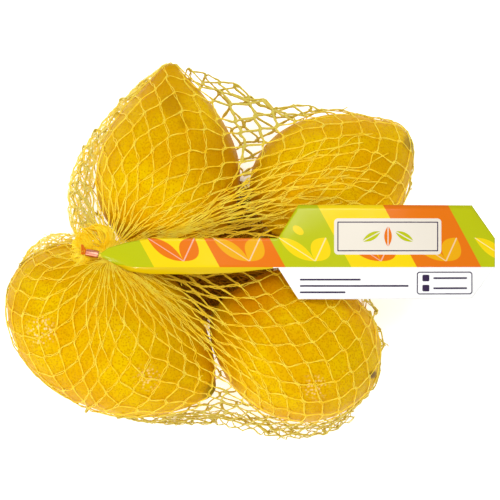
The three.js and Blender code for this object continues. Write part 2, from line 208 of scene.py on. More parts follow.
class Shader:
    """A material's node tree, with short calls for the nodes that the finishes use."""

    def __init__(self, name: str) -> None:
        """Start a material with one Principled shader."""
        self.material = bpy.data.materials.new(name)
        self.material.use_nodes = True
        self.tree = self.material.node_tree
        self.tree.nodes.clear()
        self.surface = self.node("BsdfPrincipled")
        self.output = self.node("OutputMaterial", Surface=self.surface.outputs["BSDF"])

    def feed(self, socket: Socket, value: object) -> None:
        """Link a socket to another node's output, or set it to a plain value."""
        if isinstance(value, Socket):
            self.tree.links.new(value, socket)
        else:
            socket.default_value = value

    def node(self, kind: str, **inputs: object) -> bpy.types.ShaderNode:
        """Add a node and set or link its inputs; an underscore stands for a space."""
        node = self.tree.nodes.new("ShaderNode" + kind)
        for name, value in inputs.items():
            self.feed(node.inputs[name.replace("_", " ")], value)
        return node

    def set(self, **inputs: object) -> None:
        """Set or link inputs of the Principled shader; an underscore stands for a space."""
        names = {socket.name.replace(" ", "_").lower(): socket for socket in self.surface.inputs}
        for name, value in inputs.items():
            self.feed(names[name], value)

    def let_through(self, colour: object, share: float) -> None:
        """Give a share of the surface to light that passes through it."""
        both = self.tree.nodes.new("ShaderNodeMixShader")
        through = self.node("BsdfTranslucent", Color=colour)
        for socket, value in zip(both.inputs, (share, self.surface.outputs["BSDF"], through.outputs["BSDF"])):
            self.feed(socket, value)
        self.feed(self.output.inputs["Surface"], both.outputs["Shader"])

    def objects_place(self, scale: Sequence[float] = (1, 1, 1)) -> Socket:
        """Object coordinates through a Mapping node."""
        place = self.node("TexCoord").outputs["Object"]
        return self.node("Mapping", Vector=place, Scale=scale).outputs["Vector"]

    def math(self, operation: str, *values: object) -> Socket:
        """One Math node of the named operation."""
        node = self.node("Math")
        node.operation = operation
        for socket, value in zip(node.inputs, values):
            self.feed(socket, value)
        return node.outputs[0]

    def times(self, first: object, second: object) -> Socket:
        """Product of two values."""
        return self.math("MULTIPLY", first, second)

    def minus(self, first: object, second: object) -> Socket:
        """First value less the second."""
        return self.math("SUBTRACT", first, second)

    def below(self, value: object, limit: object) -> Socket:
        """1 where a value is less than the limit, 0 elsewhere."""
        return self.math("LESS_THAN", value, limit)

    def rest_of(self, share: object) -> Socket:
        """What a share leaves of 1."""
        return self.minus(1.0, share)

    def square_sum(self, first: object, second: object) -> Socket:
        """Sum of two values' squares."""
        return self.math("MULTIPLY_ADD", first, first, self.times(second, second))

    def split(self, vector: object) -> Sequence[Socket]:
        """X, Y and Z of a vector."""
        return self.node("SeparateXYZ", Vector=vector).outputs

    def plan_distance(self, place: object, middle: Sequence[float]) -> Socket:
        """Level distance of a place from a point."""
        away = [self.minus(part, float(centre)) for part, centre in zip(self.split(place), middle[:2])]
        return self.math("SQRT", self.square_sum(*away))

    def noise(self, vector: object, scale: float, detail: float = 2.0) -> Socket:
        """Noise value between 0 and 1."""
        return self.node("TexNoise", Vector=vector, Scale=scale, Detail=detail).outputs["Fac"]

    def cells(self, vector: object, scale: float) -> Socket:
        """Distance to the nearest cell point."""
        return self.node("TexVoronoi", Vector=vector, Scale=scale).outputs["Distance"]

    def ramp(self, value: object, low: float, high: float) -> Socket:
        """A smooth step from 0 at low to 1 at high."""
        node = self.node("MapRange")
        node.interpolation_type = "SMOOTHSTEP"
        for name, setting in (("Value", value), ("From Min", low), ("From Max", high)):
            self.feed(node.inputs[name], setting)
        return node.outputs["Result"]

    def mix(self, share: object, first: object, second: object) -> Socket:
        """Mix two colours."""
        node = self.node("Mix")
        node.data_type = "RGBA"
        self.feed(node.inputs["Factor"], share)
        colours = [socket for socket in node.inputs if socket.type == "RGBA"]
        self.feed(colours[0], first)
        self.feed(colours[1], second)
        return next(socket for socket in node.outputs if socket.type == "RGBA")

    def attribute(self, name: str) -> Sequence[Socket]:
        """Red, green and blue of a colour attribute."""
        node = self.node("Attribute")
        node.attribute_name = name
        return self.node("SeparateColor", Color=node.outputs["Color"]).outputs

    def bump(self, height: object, strength: float, distance: float) -> Socket:
        """Surface normal from a height in metres."""
        return self.node("Bump", Strength=strength, Distance=distance, Height=height).outputs["Normal"]


# ---- finishes ----


@dataclass(frozen=True)
class Mark:
    """A spot on a rind: plan place and reach in millimetres, colour and strength."""

    place: Pair
    reach: float
    colour: Colour
    share: float
    # A speckled mark is a painted highlight, broken into specks.
    speckled_highlight: bool = False


@dataclass(frozen=True)
class RindFinish:
    """Waxy lemon rind: warm yellow, pored, with pale flecks and a brown stem scar.

    Scales are in turns per metre. The marks are painted shade on the rind under the net and the label, on the
    lemons' darker sides and between them, painted highlights as pale speckled patches at the lower lemons'
    ends, and small green and brown bruises.
    """

    marks: tuple[Mark, ...] = (
        # Painted shade on the rind under the net and the label, on the lemons' darker sides and between them.
        Mark((-32.0, 70.0), 17.0, linear(206, 148, 0), 0.7),
        Mark((-12.0, 38.0), 16.0, linear(200, 138, 0), 0.6),
        Mark((-27.0, -38.0), 15.0, linear(206, 146, 0), 0.4),
        Mark((1.0, -15.0), 21.0, linear(206, 120, 0), 0.6),
        Mark((-5.0, 17.0), 15.0, linear(198, 118, 0), 0.5),
        Mark((58.0, 33.0), 14.0, linear(204, 148, 0), 0.5),
        # Painted highlights: pale speckled patches where the light glints on the lower lemons.
        Mark((-82.6, -32.3), 7.5, linear(252, 222, 160), 0.8, True),
        Mark((-40.6, -50.7), 6.5, linear(250, 214, 140), 0.65, True),
        Mark((26.1, -54.7), 6.5, linear(250, 214, 140), 0.65, True),
        # Bruises, darker tips and a stem end: the rind's own colour.
        Mark((-31.6, 58.0), 6.5, linear(160, 108, 6), 0.4),
        Mark((-26.4, 50.5), 3.5, linear(160, 108, 6), 0.35),
        Mark((65.0, 43.6), 4.4, linear(140, 110, 18), 0.65),
        Mark((-14.6, -58.2), 6.0, linear(138, 122, 12), 0.7),
        Mark((49.6, -50.6), 2.4, linear(96, 62, 20), 0.85),
    )
    lit: Colour = linear(229, 188, 1)
    deep: Colour = linear(220, 166, 0)
    pore: Colour = linear(204, 142, 0)
    fleck: Colour = linear(240, 205, 110)
    green: Colour = linear(140, 132, 14)
    scar: Colour = linear(146, 108, 44)
    sheen: Colour = linear(255, 214, 120)
    patch_scale: float = 55
    pore_scale: float = 1150
    fleck_scale: float = 1400
    wear_scale: float = 38
    grain_scale: float = 2600
    ragged_scale: float = 420
    highlight_speckle_scale: float = 780
    pore_tone: float = 0.85
    pit_tone: float = 0.3
    fleck_tone: float = 0.6
    tip_start: float = 0.965
    tip_tone: float = 0.75
    bump_strength: float = 0.75
    bump_height: float = 0.00016
    roughness: float = 0.3
    gloss: float = 0.02

    def build(self, name: str) -> Material:
        """Make the rind's material; it reads the attribute "skin" of the lemon."""
        shader = Shader(name)
        place = shader.objects_place()
        along, pit, scar = shader.attribute("skin")
        patches = shader.ramp(shader.noise(place, self.patch_scale, 3), 0.35, 0.68)
        colour = shader.mix(patches, self.deep, self.lit)
        stipple = shader.ramp(shader.cells(place, self.pore_scale), 0.1, 0.55)
        colour = shader.mix(shader.times(shader.rest_of(stipple), self.pore_tone), colour, self.pore)
        colour = shader.mix(shader.times(pit, self.pit_tone), colour, self.pore)
        flecks = shader.ramp(shader.noise(place, self.fleck_scale, 1), 0.66, 0.78)
        worn = shader.ramp(shader.noise(place, self.wear_scale, 1), 0.60, 0.74)
        flecked = shader.times(flecks, shader.times(worn, self.fleck_tone))
        colour = shader.mix(flecked, colour, self.fleck)
        tip = shader.ramp(along, self.tip_start, 1.0)
        colour = shader.mix(shader.times(tip, self.tip_tone), colour, self.green)
        colour = shader.mix(scar, colour, self.scar)
        for mark in self.marks:
            colour = self.add_mark(shader, place, mark, colour)
        grain = shader.times(shader.noise(place, self.grain_scale, 2), 0.5)
        shader.set(
            base_color=colour,
            roughness=self.roughness,
            specular_ior_level=self.gloss,
            specular_tint=self.sheen,
            normal=shader.bump(shader.math("ADD", stipple, grain), self.bump_strength, self.bump_height),
        )
        return shader.material

    def add_mark(self, shader: Shader, place: object, mark: Mark, colour: object) -> Socket:
        """Mix one mark of the rind over a colour: painted shade, a painted highlight or a bruise.

        Args:
            shader: The material in hand.
            place: Object coordinates.
            mark: The mark.
            colour: The rind's colour so far.

        Returns:
            The colour with the mark.
        """
        middle = to_row([*mark.place, 0.0])
        ragged = shader.math("MULTIPLY_ADD", shader.noise(place, self.ragged_scale, 3), 0.9, 0.55)
        away = shader.times(shader.plan_distance(place, middle), ragged)
        out = shader.ramp(shader.math("DIVIDE", away, mark.reach * MM), 0.35, 1.0)
        share = shader.times(shader.rest_of(out), mark.share)
        if mark.speckled_highlight:
            # A speckled mark is a painted highlight, cut into specks.
            gaps = shader.ramp(shader.cells(place, self.highlight_speckle_scale), 0.22, 0.5)
            share = shader.times(share, shader.rest_of(gaps))
        return shader.mix(share, colour, mark.colour)


@dataclass(frozen=True)
class StrandFinish:
    """Bright, slightly see-through plastic filament of the net.

    The attribute "open" tells how far a filament lies from the lemons, whose light it lacks:
    first over the table, then over the hollow between the lemons. Over each its colour is
    mixed towards painted shade, a duller tone over the table and a deeper gold over the hollow.
    `glow` is the share of light that passes through. The emission is a painted glow that
    stands for light scattered inside the filament.
    """

    bright: Colour = linear(255, 238, 84)
    dull: Colour = linear(255, 223, 38)
    table_shade_tone: Colour = linear(226, 207, 90)
    hollow_shade_tone: Colour = linear(236, 202, 50)
    sheen: Colour = linear(255, 240, 160)
    gloss: float = 0.24
    glow: float = 0.2
    painted_glow: float = 0.07
    patch_scale: float = 260
    streak_scale: float = 2400
    roughness: float = 0.3
    streak_roughness: float = 0.15

    def build(self, name: str) -> Material:
        """Make the filament's material."""
        shader = Shader(name)
        place = shader.objects_place()
        tone = shader.ramp(shader.noise(place, self.patch_scale), 0.32, 0.66)
        streak = shader.noise(place, self.streak_scale)
        colour = shader.mix(tone, self.dull, self.bright)
        over_table, over_hollow, _ = shader.attribute("open")
        # Painted shade: duller tones where a filament lies over the table or the hollow.
        colour = shader.mix(over_table, colour, self.table_shade_tone)
        colour = shader.mix(over_hollow, colour, self.hollow_shade_tone)
        shader.set(
            base_color=colour,
            roughness=shader.math("MULTIPLY_ADD", streak, self.streak_roughness, self.roughness),
            specular_ior_level=self.gloss,
            specular_tint=self.sheen,
            # Painted glow: emission that stands for light scattered inside the filament.
            emission_color=colour,
            emission_strength=self.painted_glow,
            normal=shader.bump(streak, 0.3, 0.00005),
        )
        shader.let_through(colour, self.glow)
        return shader.material


@dataclass(frozen=True)
class ClipFinish:
    """Copper-coloured rolled metal with drawing marks."""

    metal: Colour = linear(216, 146, 120)
    worn: Colour = linear(186, 112, 88)
    mark_scales: Place = (60, 1400, 1400)
    patch_scale: float = 420
    roughness: float = 0.32
    mark_roughness: float = 0.18

    def build(self, name: str) -> Material:
        """Make the clip's material."""
        shader = Shader(name)
        marks = shader.noise(shader.objects_place(self.mark_scales), 1.0, 3)
        patches = shader.ramp(shader.noise(shader.objects_place(), self.patch_scale), 0.35, 0.65)
        shader.set(
            base_color=shader.mix(patches, self.worn, self.metal),
            metallic=1.0,
            roughness=shader.math("MULTIPLY_ADD", marks, self.mark_roughness, self.roughness),
            anisotropic=0.3,
            normal=shader.bump(marks, 0.35, 0.00003),
        )
        return shader.material


@dataclass(frozen=True)
class PrintFinish:
    """Printed face of the label: slanted colour bands with leaves, a plaque and a white panel.

    All places are millimetres in the film's own flat coordinates. A leaf of the sprout holds
    its tilt in radians and half its length and width, a berry its height and radius, a box
    its low x, low y, high x and high y, and a plaque leaf its offset and tilt.
    """

    orange: Colour = linear(226, 114, 0)
    amber: Colour = linear(232, 168, 0)
    yellow: Colour = linear(240, 208, 0)
    lime: Colour = linear(184, 190, 0)
    white: Colour = linear(248, 248, 246)
    cream: Colour = linear(232, 224, 209)
    purple: Colour = linear(52, 36, 70)
    fold: Colour = linear(220, 188, 6)
    band_width: float = 26.0
    slant: float = 0.55
    band_start: float = -68.0
    figure_start: float = -44.0
    sprout: tuple[Place, ...] = ((0.78, 6.6, 3.3), (2.36, 6.6, 3.3))
    sprout_base: float = -4.6
    vein: float = 0.2
    vein_tone: float = 0.35
    berry: Pair = (7.6, 1.9)
    tail_end: float = -64.0
    print_edge: float = -7.0
    panel_start: float = 9.0
    plaque: Four = (33.0, -2.0, 75.6, 12.3)
    plaque_corner: float = 1.6
    plaque_leaves: tuple[Pair, ...] = ((-6.5, 0.5), (0.0, math.pi / 2), (6.5, -0.5))
    plaque_leaf: Pair = (4.2, 1.5)
    border_inset: float = 1.5
    rule_thickness: float = 0.22
    rule_lengths: tuple[float, ...] = (24.0, 43.0, 18.0)
    rule_start: Pair = (19.5, -11.9)
    rule_drop: float = 2.5
    rule_half: float = 0.35
    chart: Four = (66.0, -17.6, 88.0, -9.0)
    chart_corner: float = 1.0
    chart_lows: tuple[float, ...] = (-12.6, -16.6)
    chip: Pair = (68.0, 70.8)
    chip_height: float = 2.6
    chip_corner: float = 0.5
    bar: Pair = (72.4, 86.0)
    bar_rise: Pair = (0.9, 1.6)
    bar_corner: float = 0.3
    ripple_scale: float = 60
    roughness: float = 0.2
    gloss: float = 0.22

    def build(self, name: str) -> Material:
        """Make the printed film's material; it reads the label's UV map."""
        shader = Shader(name)
        uv = shader.node("UVMap")
        uv.uv_map = FilmLabel.UV_NAME
        x, y = (
            shader.math("MULTIPLY_ADD", part, FilmLabel.UV_SPAN, start)
            for part, start in zip(shader.split(uv.outputs["UV"]), FilmLabel.UV_ORIGIN))
        colour = self.bands(shader, x, y)
        colour = self.panel(shader, x, y, colour)
        colour = self.title(shader, x, y, colour)
        ripple = shader.noise(shader.objects_place(), self.ripple_scale, 1)
        shader.set(
            base_color=colour,
            roughness=self.roughness,
            specular_ior_level=self.gloss,
            normal=shader.bump(ripple, 0.4, 0.0004),
        )
        return shader.material

    def bands(self, shader: Shader, x: object, y: object) -> Socket:
        """Slanted bands in three colours, each with a berry over a pair of leaves."""
        slid = shader.minus(shader.math("MULTIPLY_ADD", y, self.slant, x), self.band_start)
        count = shader.math("FLOOR", shader.math("DIVIDE", slid, self.band_width))
        turn = shader.math("MODULO", count, 3.0)
        is_yellow = shader.math("COMPARE", turn, 1.0, 0.1)
        is_lime = shader.math("COMPARE", turn, 0.0, 0.1)
        ground = shader.mix(is_lime, shader.mix(is_yellow, self.orange, self.yellow), self.lime)
        figure = shader.mix(is_lime, shader.mix(is_yellow, self.amber, self.orange), self.yellow)
        printed = shader.math("GREATER_THAN", x, self.figure_start)
        local = shader.minus(shader.math("MODULO", slid, self.band_width), self.band_width / 2)
        rise, radius = self.berry
        berry = shader.below(shader.square_sum(shader.minus(y, rise), local), radius**2)
        ground = shader.mix(shader.times(berry, printed), ground, figure)
        pale = shader.mix(self.vein_tone, figure, self.white)
        for tilt, length, width in self.sprout:
            across = shader.minus(local, length * math.cos(tilt))
            up = shader.minus(y, self.sprout_base + length * math.sin(tilt))
            leaf, vein = self.leaf(shader, across, up, tilt, length, width)
            ground = shader.mix(shader.times(leaf, printed), ground, figure)
            ground = shader.mix(shader.times(vein, printed), ground, pale)
        return shader.mix(shader.below(x, self.tail_end), ground, self.orange)

    def leaf(
        self, shader: Shader, x: object, y: object, tilt: float, length: float, width: float
    ) -> tuple[Socket, Socket]:
        """A pointed leaf about the origin.

        Args:
            shader: The material in hand.
            x: Distance across, in millimetres.
            y: Distance up, in millimetres.
            tilt: Turn of the leaf in radians.
            length: Half its length in millimetres.
            width: Half its width in millimetres.

        Returns:
            Masks of the leaf's area and of its vein.
        """
        run = shader.math("MULTIPLY_ADD", y, math.sin(tilt), shader.times(x, math.cos(tilt)))
        rise = shader.math("MULTIPLY_ADD", y, math.cos(tilt), shader.times(x, -math.sin(tilt)))
        share = shader.math("DIVIDE", run, length)
        limit = shader.times(shader.rest_of(shader.times(share, share)), width)
        height = shader.math("ABSOLUTE", rise)
        area = shader.below(height, limit)
        return area, shader.times(shader.below(height, self.vein), area)

    def box(self, shader: Shader, x: object, y: object, place: Sequence[float], corner: float) -> Socket:
        """Signed distance to a rounded rectangle of low x, low y, high x, high y."""
        beyond = []
        for value, low, high in zip((x, y), place, place[2:]):
            away = shader.math("ABSOLUTE", shader.minus(value, (low + high) / 2))
            beyond.append(shader.minus(away, (high - low) / 2 - corner))
        past = (shader.math("MAXIMUM", part, 0.0) for part in beyond)
        outside = shader.math("SQRT", shader.square_sum(*past))
        inside = shader.math("MINIMUM", shader.math("MAXIMUM", *beyond), 0.0)
        return shader.minus(shader.math("ADD", outside, inside), corner)

    def panel(self, shader: Shader, x: object, y: object, colour: object) -> Socket:
        """White panel along the lower edge, plain yellow where the film is turned down."""
        under = shader.below(y, self.print_edge)
        wide = shader.math("GREATER_THAN", x, self.panel_start)
        colour = shader.mix(under, colour, self.fold)
        colour = shader.mix(shader.times(under, wide), colour, self.white)
        frame = self.box(shader, x, y, self.chart, self.chart_corner)
        inks = [shader.below(shader.math("ABSOLUTE", frame), self.rule_thickness)]
        start, top = self.rule_start
        boxes = []
        for row, length in enumerate(self.rule_lengths):
            middle = top - self.rule_drop * row
            rule = (start, middle - self.rule_half, start + length, middle + self.rule_half)
            boxes.append((rule, self.bar_corner))
        for low in self.chart_lows:
            chip = (self.chip[0], low, self.chip[1], low + self.chip_height)
            boxes.append((chip, self.chip_corner))
            lower, upper = (low + rise for rise in self.bar_rise)
            boxes.append(((self.bar[0], lower, self.bar[1], upper), self.bar_corner))
        inks += [shader.below(self.box(shader, x, y, place, corner), 0.0) for place, corner in boxes]
        for ink in inks:
            colour = shader.mix(ink, colour, self.purple)
        return colour

    def title(self, shader: Shader, x: object, y: object, colour: object) -> Socket:
        """Cream plaque with a thin border and a plain sprig."""
        plaque = self.box(shader, x, y, self.plaque, self.plaque_corner)
        colour = shader.mix(shader.below(plaque, 0.0), colour, self.cream)
        edge = shader.math("ABSOLUTE", shader.math("ADD", plaque, self.border_inset))
        colour = shader.mix(shader.below(edge, self.rule_thickness), colour, self.purple)
        middle_x = (self.plaque[0] + self.plaque[2]) / 2
        middle_y = (self.plaque[1] + self.plaque[3]) / 2
        for offset, tilt in self.plaque_leaves:
            across, up = shader.minus(x, middle_x + offset), shader.minus(y, middle_y)
            area, vein = self.leaf(shader, across, up, tilt, *self.plaque_leaf)
            colour = shader.mix(area, colour, self.lime if offset else self.orange)
            colour = shader.mix(vein, colour, self.cream)
        return colour


@dataclass(frozen=True)
class FilmBackFinish:
    """Unprinted back of the film, milky with the print faintly through it."""

    milk: Colour = linear(240, 236, 214)
    tint: Colour = linear(250, 240, 190)
    haze_scale: float = 30
    ripple_scale: float = 60
    roughness: float = 0.3

    def build(self, name: str) -> Material:
        """Make the back's material."""
        shader = Shader(name)
        place = shader.objects_place()
        haze = shader.ramp(shader.noise(place, self.haze_scale), 0.3, 0.7)
        shader.set(
            base_color=shader.mix(haze, self.milk, self.tint),
            roughness=self.roughness,
            normal=shader.bump(shader.noise(place, self.ripple_scale, 1), 0.4, 0.0004),
        )
        return shader.material


# ---- lemon forms ----


@dataclass(frozen=True)
class LemonForm:
    """Size and place of one lemon, whose axis lies level. Millimetres and degrees.

    `belly` is the plan place of the thickest section and `heading` the plan angle of the
    tip. Each half has a length and two powers p, q of r = R (1 - (a / length)^p)^q.
    """

    name: str
    belly: Pair
    heading: float
    radius: float
    tip: float
    stem: float
    tip_taper: Pair
    stem_taper: Pair
    nib: Pair
    skew: float
    skew_start: float = 0.45
    nib_blend: float = 1.6
    nib_fade: float = 12
    steepest: float = 12
    lie: float = 0.5
    table_size: int = 600

    def radius_at(self, a: Array) -> Array:
        """Radius at a distance along the axis, positive towards the tip."""
        a = np.asarray(a, dtype=float)
        length = np.where(a > 0, self.tip, self.stem)
        p = np.where(a > 0, self.tip_taper[0], self.stem_taper[0])
        q = np.where(a > 0, self.tip_taper[1], self.stem_taper[1])
        share = np.clip(np.abs(a) / length, 0, 1)
        body = self.radius * (1 - share**p) ** q
        nib_length, nib_radius = self.nib
        along = np.clip((a - (self.tip - nib_length)) / nib_length, -1, 1)
        nib = nib_radius * np.sqrt(1 - along**2)
        blend = self.nib_blend * np.minimum(1, nib / nib_radius) * np.minimum(1, (1 - share) * self.nib_fade)
        return 0.5 * (body + nib + np.sqrt((body - nib) ** 2 + blend**2))

    def shift_at(self, a: Array) -> Array:
        """Sideways shift of the axis at a distance along it."""
        share = np.clip((np.asarray(a) / self.tip - self.skew_start) / (1 - self.skew_start), 0, 1)
        return self.skew * (share * share * (3 - 2 * share)) ** 2

    @property
    def height(self) -> float:
        """Height of the axis above the floor."""
        return self.radius + self.lie

    @property
    def axes(self) -> tuple[Array, Array]:
        """Plan directions along and across the lemon."""
        angle = math.radians(self.heading)
        return np.array([math.cos(angle), math.sin(angle)]), np.array([-math.sin(angle), math.cos(angle)])

    def to_pack(self, local: Array) -> Array:
        """Move points from the lemon's own axes (along, across, up) into the design's."""
        along, across = self.axes
        plan = np.array(self.belly) + local[:, :1] * along + local[:, 1:2] * across
        return np.column_stack([plan, local[:, 2] + self.height])

    def to_local(self, points: Array) -> Array:
        """Move design points into the lemon's own axes, with its skew taken out."""
        along, across = self.axes
        plan = points[:, :2] - np.array(self.belly)
        a = plan @ along
        return np.column_stack([a, plan @ across - self.shift_at(a), points[:, 2] - self.height])

    def silhouette(self, grow: float) -> Array:
        """Closed outline seen in plan, moved out by `grow`, with the axis height."""
        turn = np.linspace(0, math.pi, 60)
        a = np.where(np.cos(turn) > 0, np.cos(turn) * self.tip, np.cos(turn) * self.stem)
        scale = 1 + grow / self.radius
        half = self.radius_at(a) * scale
        shift = self.shift_at(a)
        level = np.zeros_like(a)
        upper = np.column_stack([a * scale, shift + half, level])
        lower = np.column_stack([a * scale, shift - half, level])[::-1]
        return self.to_pack(np.vstack([upper, lower, upper[:1]]))

    def beside(self, points: Array) -> Array:
        """Plan distance of points from the lemon's outline, roughly; negative over it."""
        local = self.to_local(points)
        a = np.clip(local[:, 0], -self.stem, self.tip)
        return np.hypot(local[:, 0] - a, local[:, 1]) - self.radius_at(a)

    def push_out(self, points: Array, clearance: float) -> Array:
        """Move points that lie inside the lemon out to its surface.

        Args:
            points: Design points as rows.
            clearance: Distance to keep from the skin.

        Returns:
            The moved points.
        """
        table = np.linspace(-self.stem, self.tip, self.table_size)
        radii = self.radius_at(table)
        slopes = np.clip(np.gradient(radii, table), -self.steepest, self.steepest)
        local = self.to_local(points)
        a = np.clip(local[:, 0], -self.stem, self.tip)
        radius = np.interp(a, table, radii)
        slope = np.interp(a, table, slopes)
        out = np.maximum(np.hypot(local[:, 1], local[:, 2]), 1e-6)
        lean = 1 / np.sqrt(1 + slope**2)
        beyond = np.abs(local[:, 0] - a)
        depth = np.where(beyond > 0, clearance - np.hypot(beyond, np.maximum(out - radius, 0)),
                         clearance - (out - radius) * lean)
        depth = np.clip(depth, 0, None)
        along, across = self.axes
        side = local[:, 1] / out * lean
        forward = -slope * lean
        moved = points.copy()
        moved[:, :2] += depth[:, None] * (forward[:, None] * along + side[:, None] * across)
        moved[:, 2] += depth * local[:, 2] / out * lean
        return moved


LEMONS = (
    LemonForm(
        "lemon_upper_left", belly=(-33.8, 29.3), heading=88, radius=29.6, tip=46.4, stem=32.0,
        tip_taper=(1.9, 0.95), stem_taper=(2.2, 0.52), nib=(5.0, 4.2), skew=0.5),
    LemonForm(
        "lemon_upper_right", belly=(32.2, 27.7), heading=11, radius=27.1, tip=36.5, stem=33.0,
        tip_taper=(2.5, 0.62), stem_taper=(2.1, 0.52), nib=(4.6, 4.4), skew=8.0),
    LemonForm(
        "lemon_lower_left", belly=(-57.3, -33.2), heading=-30, radius=32.0, tip=49.6, stem=45.0,
        tip_taper=(2.1, 0.8), stem_taper=(2.3, 0.54), nib=(5.5, 6.0), skew=-1.0),
    LemonForm(
        "lemon_lower_right", belly=(18.4, -39.0), heading=156, radius=30.3, tip=36.5, stem=35.5,
        tip_taper=(2.2, 0.7), stem_taper=(2.3, 0.56), nib=(4.0, 5.0), skew=1.5),
)


def keep_clear(points: Array, clearance: float, floor: float) -> Array:
    """Keep points outside every lemon and above the floor."""
    for lemon in LEMONS:
        points = lemon.push_out(points, clearance)
    points[:, 2] = np.maximum(points[:, 2], floor)
    return points


def outline_run(a: Array, radii: Array) -> Array:
    """Distance along a spun body's outline at its points."""
    return np.concatenate([[0], np.cumsum(np.hypot(np.diff(a), np.diff(radii)))])


@dataclass
class Lemon:
    """One lemon: a spun body with pores and a stem scar cut into its skin."""

    form: LemonForm
    seed: int
    rings: int = 210
    sides: int = 350
    pore_spacing: float = 1.45
    pore_depth: float = 0.075
    pore_width: float = 0.46
    least_pore: float = 0.55
    jitter: float = 0.22
    ring_share: float = 0.87
    waves: tuple[tuple[float, float, int], ...] = ((38.0, 0.32, 7), (8.0, 0.05, 9), (3.6, 0.025, 9))
    profile_samples: int = 4000
    scar_radius: float = 3.1
    scar_depth: float = 0.55
    scar_points: int = 5
    scar_edge: float = 0.7
    rim_height: float = 0.35
    rim_width: float = 0.9

    def build(self, material: Material) -> None:
        """Make the lemon and link it."""
        mesh = mesh_from(self.spun_body(), self.form.name)
        mesh.update()
        skin = vertex_array(mesh)
        normals = vertex_array(mesh, "normal")
        lift, pits = self.relief(skin)
        scar = self.scar_mask(skin)
        lift -= self.scar_depth * scar
        from_rim = (np.hypot(skin[:, 1], skin[:, 2]) - self.scar_radius) / self.rim_width
        lift += self.rim_height * np.exp(-(from_rim**2)) * (skin[:, 0] < 0)
        place = skin + normals * lift[:, None]
        place[:, 1] += self.form.shift_at(place[:, 0])
        write_vertices(mesh, to_row(self.form.to_pack(place)))
        along = (skin[:, 0] + self.form.stem) / (self.form.stem + self.form.tip)
        paint_vertices(mesh, "skin", along, pits, scar)
        add_piece(mesh, Slot.RIND, "net", material)

    def profile(self) -> Array:
        """Distances along the axis, evenly spaced on the skin."""
        turn = np.linspace(math.pi, 0, self.profile_samples)
        a = np.where(np.cos(turn) > 0, np.cos(turn) * self.form.tip, np.cos(turn) * self.form.stem)
        run = outline_run(a, self.form.radius_at(a))
        return np.interp(np.linspace(0, run[-1], self.rings + 1), run, a)

    def spun_body(self) -> bmesh.types.BMesh:
        """Spin the half outline about the lemon's axis."""
        bm = bmesh.new()
        stations = self.profile()
        radii = self.form.radius_at(stations)
        radii[0] = radii[-1] = 0.0
        line = [bm.verts.new((a, 0, r)) for a, r in zip(stations, radii)]
        edges = [bm.edges.new(pair) for pair in zip(line, line[1:])]
        bmesh.ops.spin(
            bm, geom=[*line, *edges], cent=(0, 0, 0), axis=(1, 0, 0), dvec=(0, 0, 0),
            angle=math.tau, steps=self.sides, use_merge=True)
        bmesh.ops.remove_doubles(bm, verts=bm.verts, dist=0.002)
        bmesh.ops.recalc_face_normals(bm, faces=bm.faces)
        return bm

    def relief(self, skin: Array) -> tuple[Array, Array]:
        """Work out the skin's unevenness.

        Args:
            skin: Smooth skin points in the lemon's own axes.

        Returns:
            Height over the smooth skin, and how deep in a pore each point is, 0 to 1.
        """
        random = np.random.default_rng(self.seed)
        lift = np.zeros(len(skin))
        for wavelength, amount, count in self.waves:
            for _ in range(count):
                direction = random.normal(size=3)
                direction *= math.tau / wavelength / np.linalg.norm(direction)
                lift += amount / math.sqrt(count) * np.sin(skin @ direction + random.uniform(0, math.tau))
        pores = self.pore_places(random)
        tree = KDTree(len(pores))
        for index, pore in enumerate(pores):
            tree.insert(pore, index)
        tree.balance()
        depths = random.uniform(self.least_pore, 1.0, len(pores))
        pits = np.empty(len(skin))
        for index, point in enumerate(skin):
            _, pore, distance = tree.find(point)
            pits[index] = depths[pore] * math.exp(-((distance / self.pore_width) ** 2))
        return lift - self.pore_depth * pits, pits

    def pore_places(self, random: Random) -> Array:
        """Spread pores over the skin in jittered rings."""
        a = np.linspace(-self.form.stem, self.form.tip, self.profile_samples // 2)
        radii = self.form.radius_at(a)
        run = outline_run(a, radii)
        places = []
        for mark in np.arange(self.pore_spacing, run[-1], self.pore_spacing * self.ring_share):
            count = max(1, round(math.tau * np.interp(mark, run, radii) / self.pore_spacing))
            marks = mark + random.normal(0, self.jitter, count) * self.pore_spacing
            turn = np.arange(count) + random.uniform() + random.normal(0, self.jitter, count)
            turn = turn * math.tau / count
            station = np.interp(marks, run, a)
            ring = self.form.radius_at(station)
            places.append(np.column_stack([station, ring * np.cos(turn), ring * np.sin(turn)]))
        return np.vstack(places)

    def scar_mask(self, skin: Array) -> Array:
        """How much each point belongs to the stem scar, a five-pointed dent."""
        turn = np.arctan2(skin[:, 2], skin[:, 1])
        edge = self.scar_radius * (0.72 + 0.16 * np.cos(self.scar_points * turn + self.seed))
        out = np.hypot(skin[:, 1], skin[:, 2])
        return np.clip((edge - out) / self.scar_edge + 0.5, 0, 1) * (skin[:, 0] < 0)


# ---- the draped sheet ----


def catmull_rom(points: Array, steps: int) -> Array:
    """Smooth lines through control points.

    Args:
        points: Control points, shaped (lines, points, 3).
        steps: Samples for each stretch between two control points.

    Returns:
        The sampled lines, shaped (lines, samples, 3).
    """
    padded = np.concatenate(
        [2 * points[:, :1] - points[:, 1:2], points, 2 * points[:, -1:] - points[:, -2:-1]], axis=1)
    t = np.linspace(0, 1, steps, endpoint=False)[None, None, :, None]
    p0, p1, p2, p3 = (padded[:, k:padded.shape[1] - 3 + k, None, :] for k in range(4))
    curve = 0.5 * (
        2 * p1 + (p2 - p0) * t + (2 * p0 - 5 * p1 + 4 * p2 - p3) * t**2
        + (3 * p1 - p0 - 3 * p2 + p3) * t**3)
    lines, stretches = points.shape[0], points.shape[1] - 1
    flat = curve.reshape(lines, stretches * steps, -1)
    return np.concatenate([flat, points[:, -1:]], axis=1)


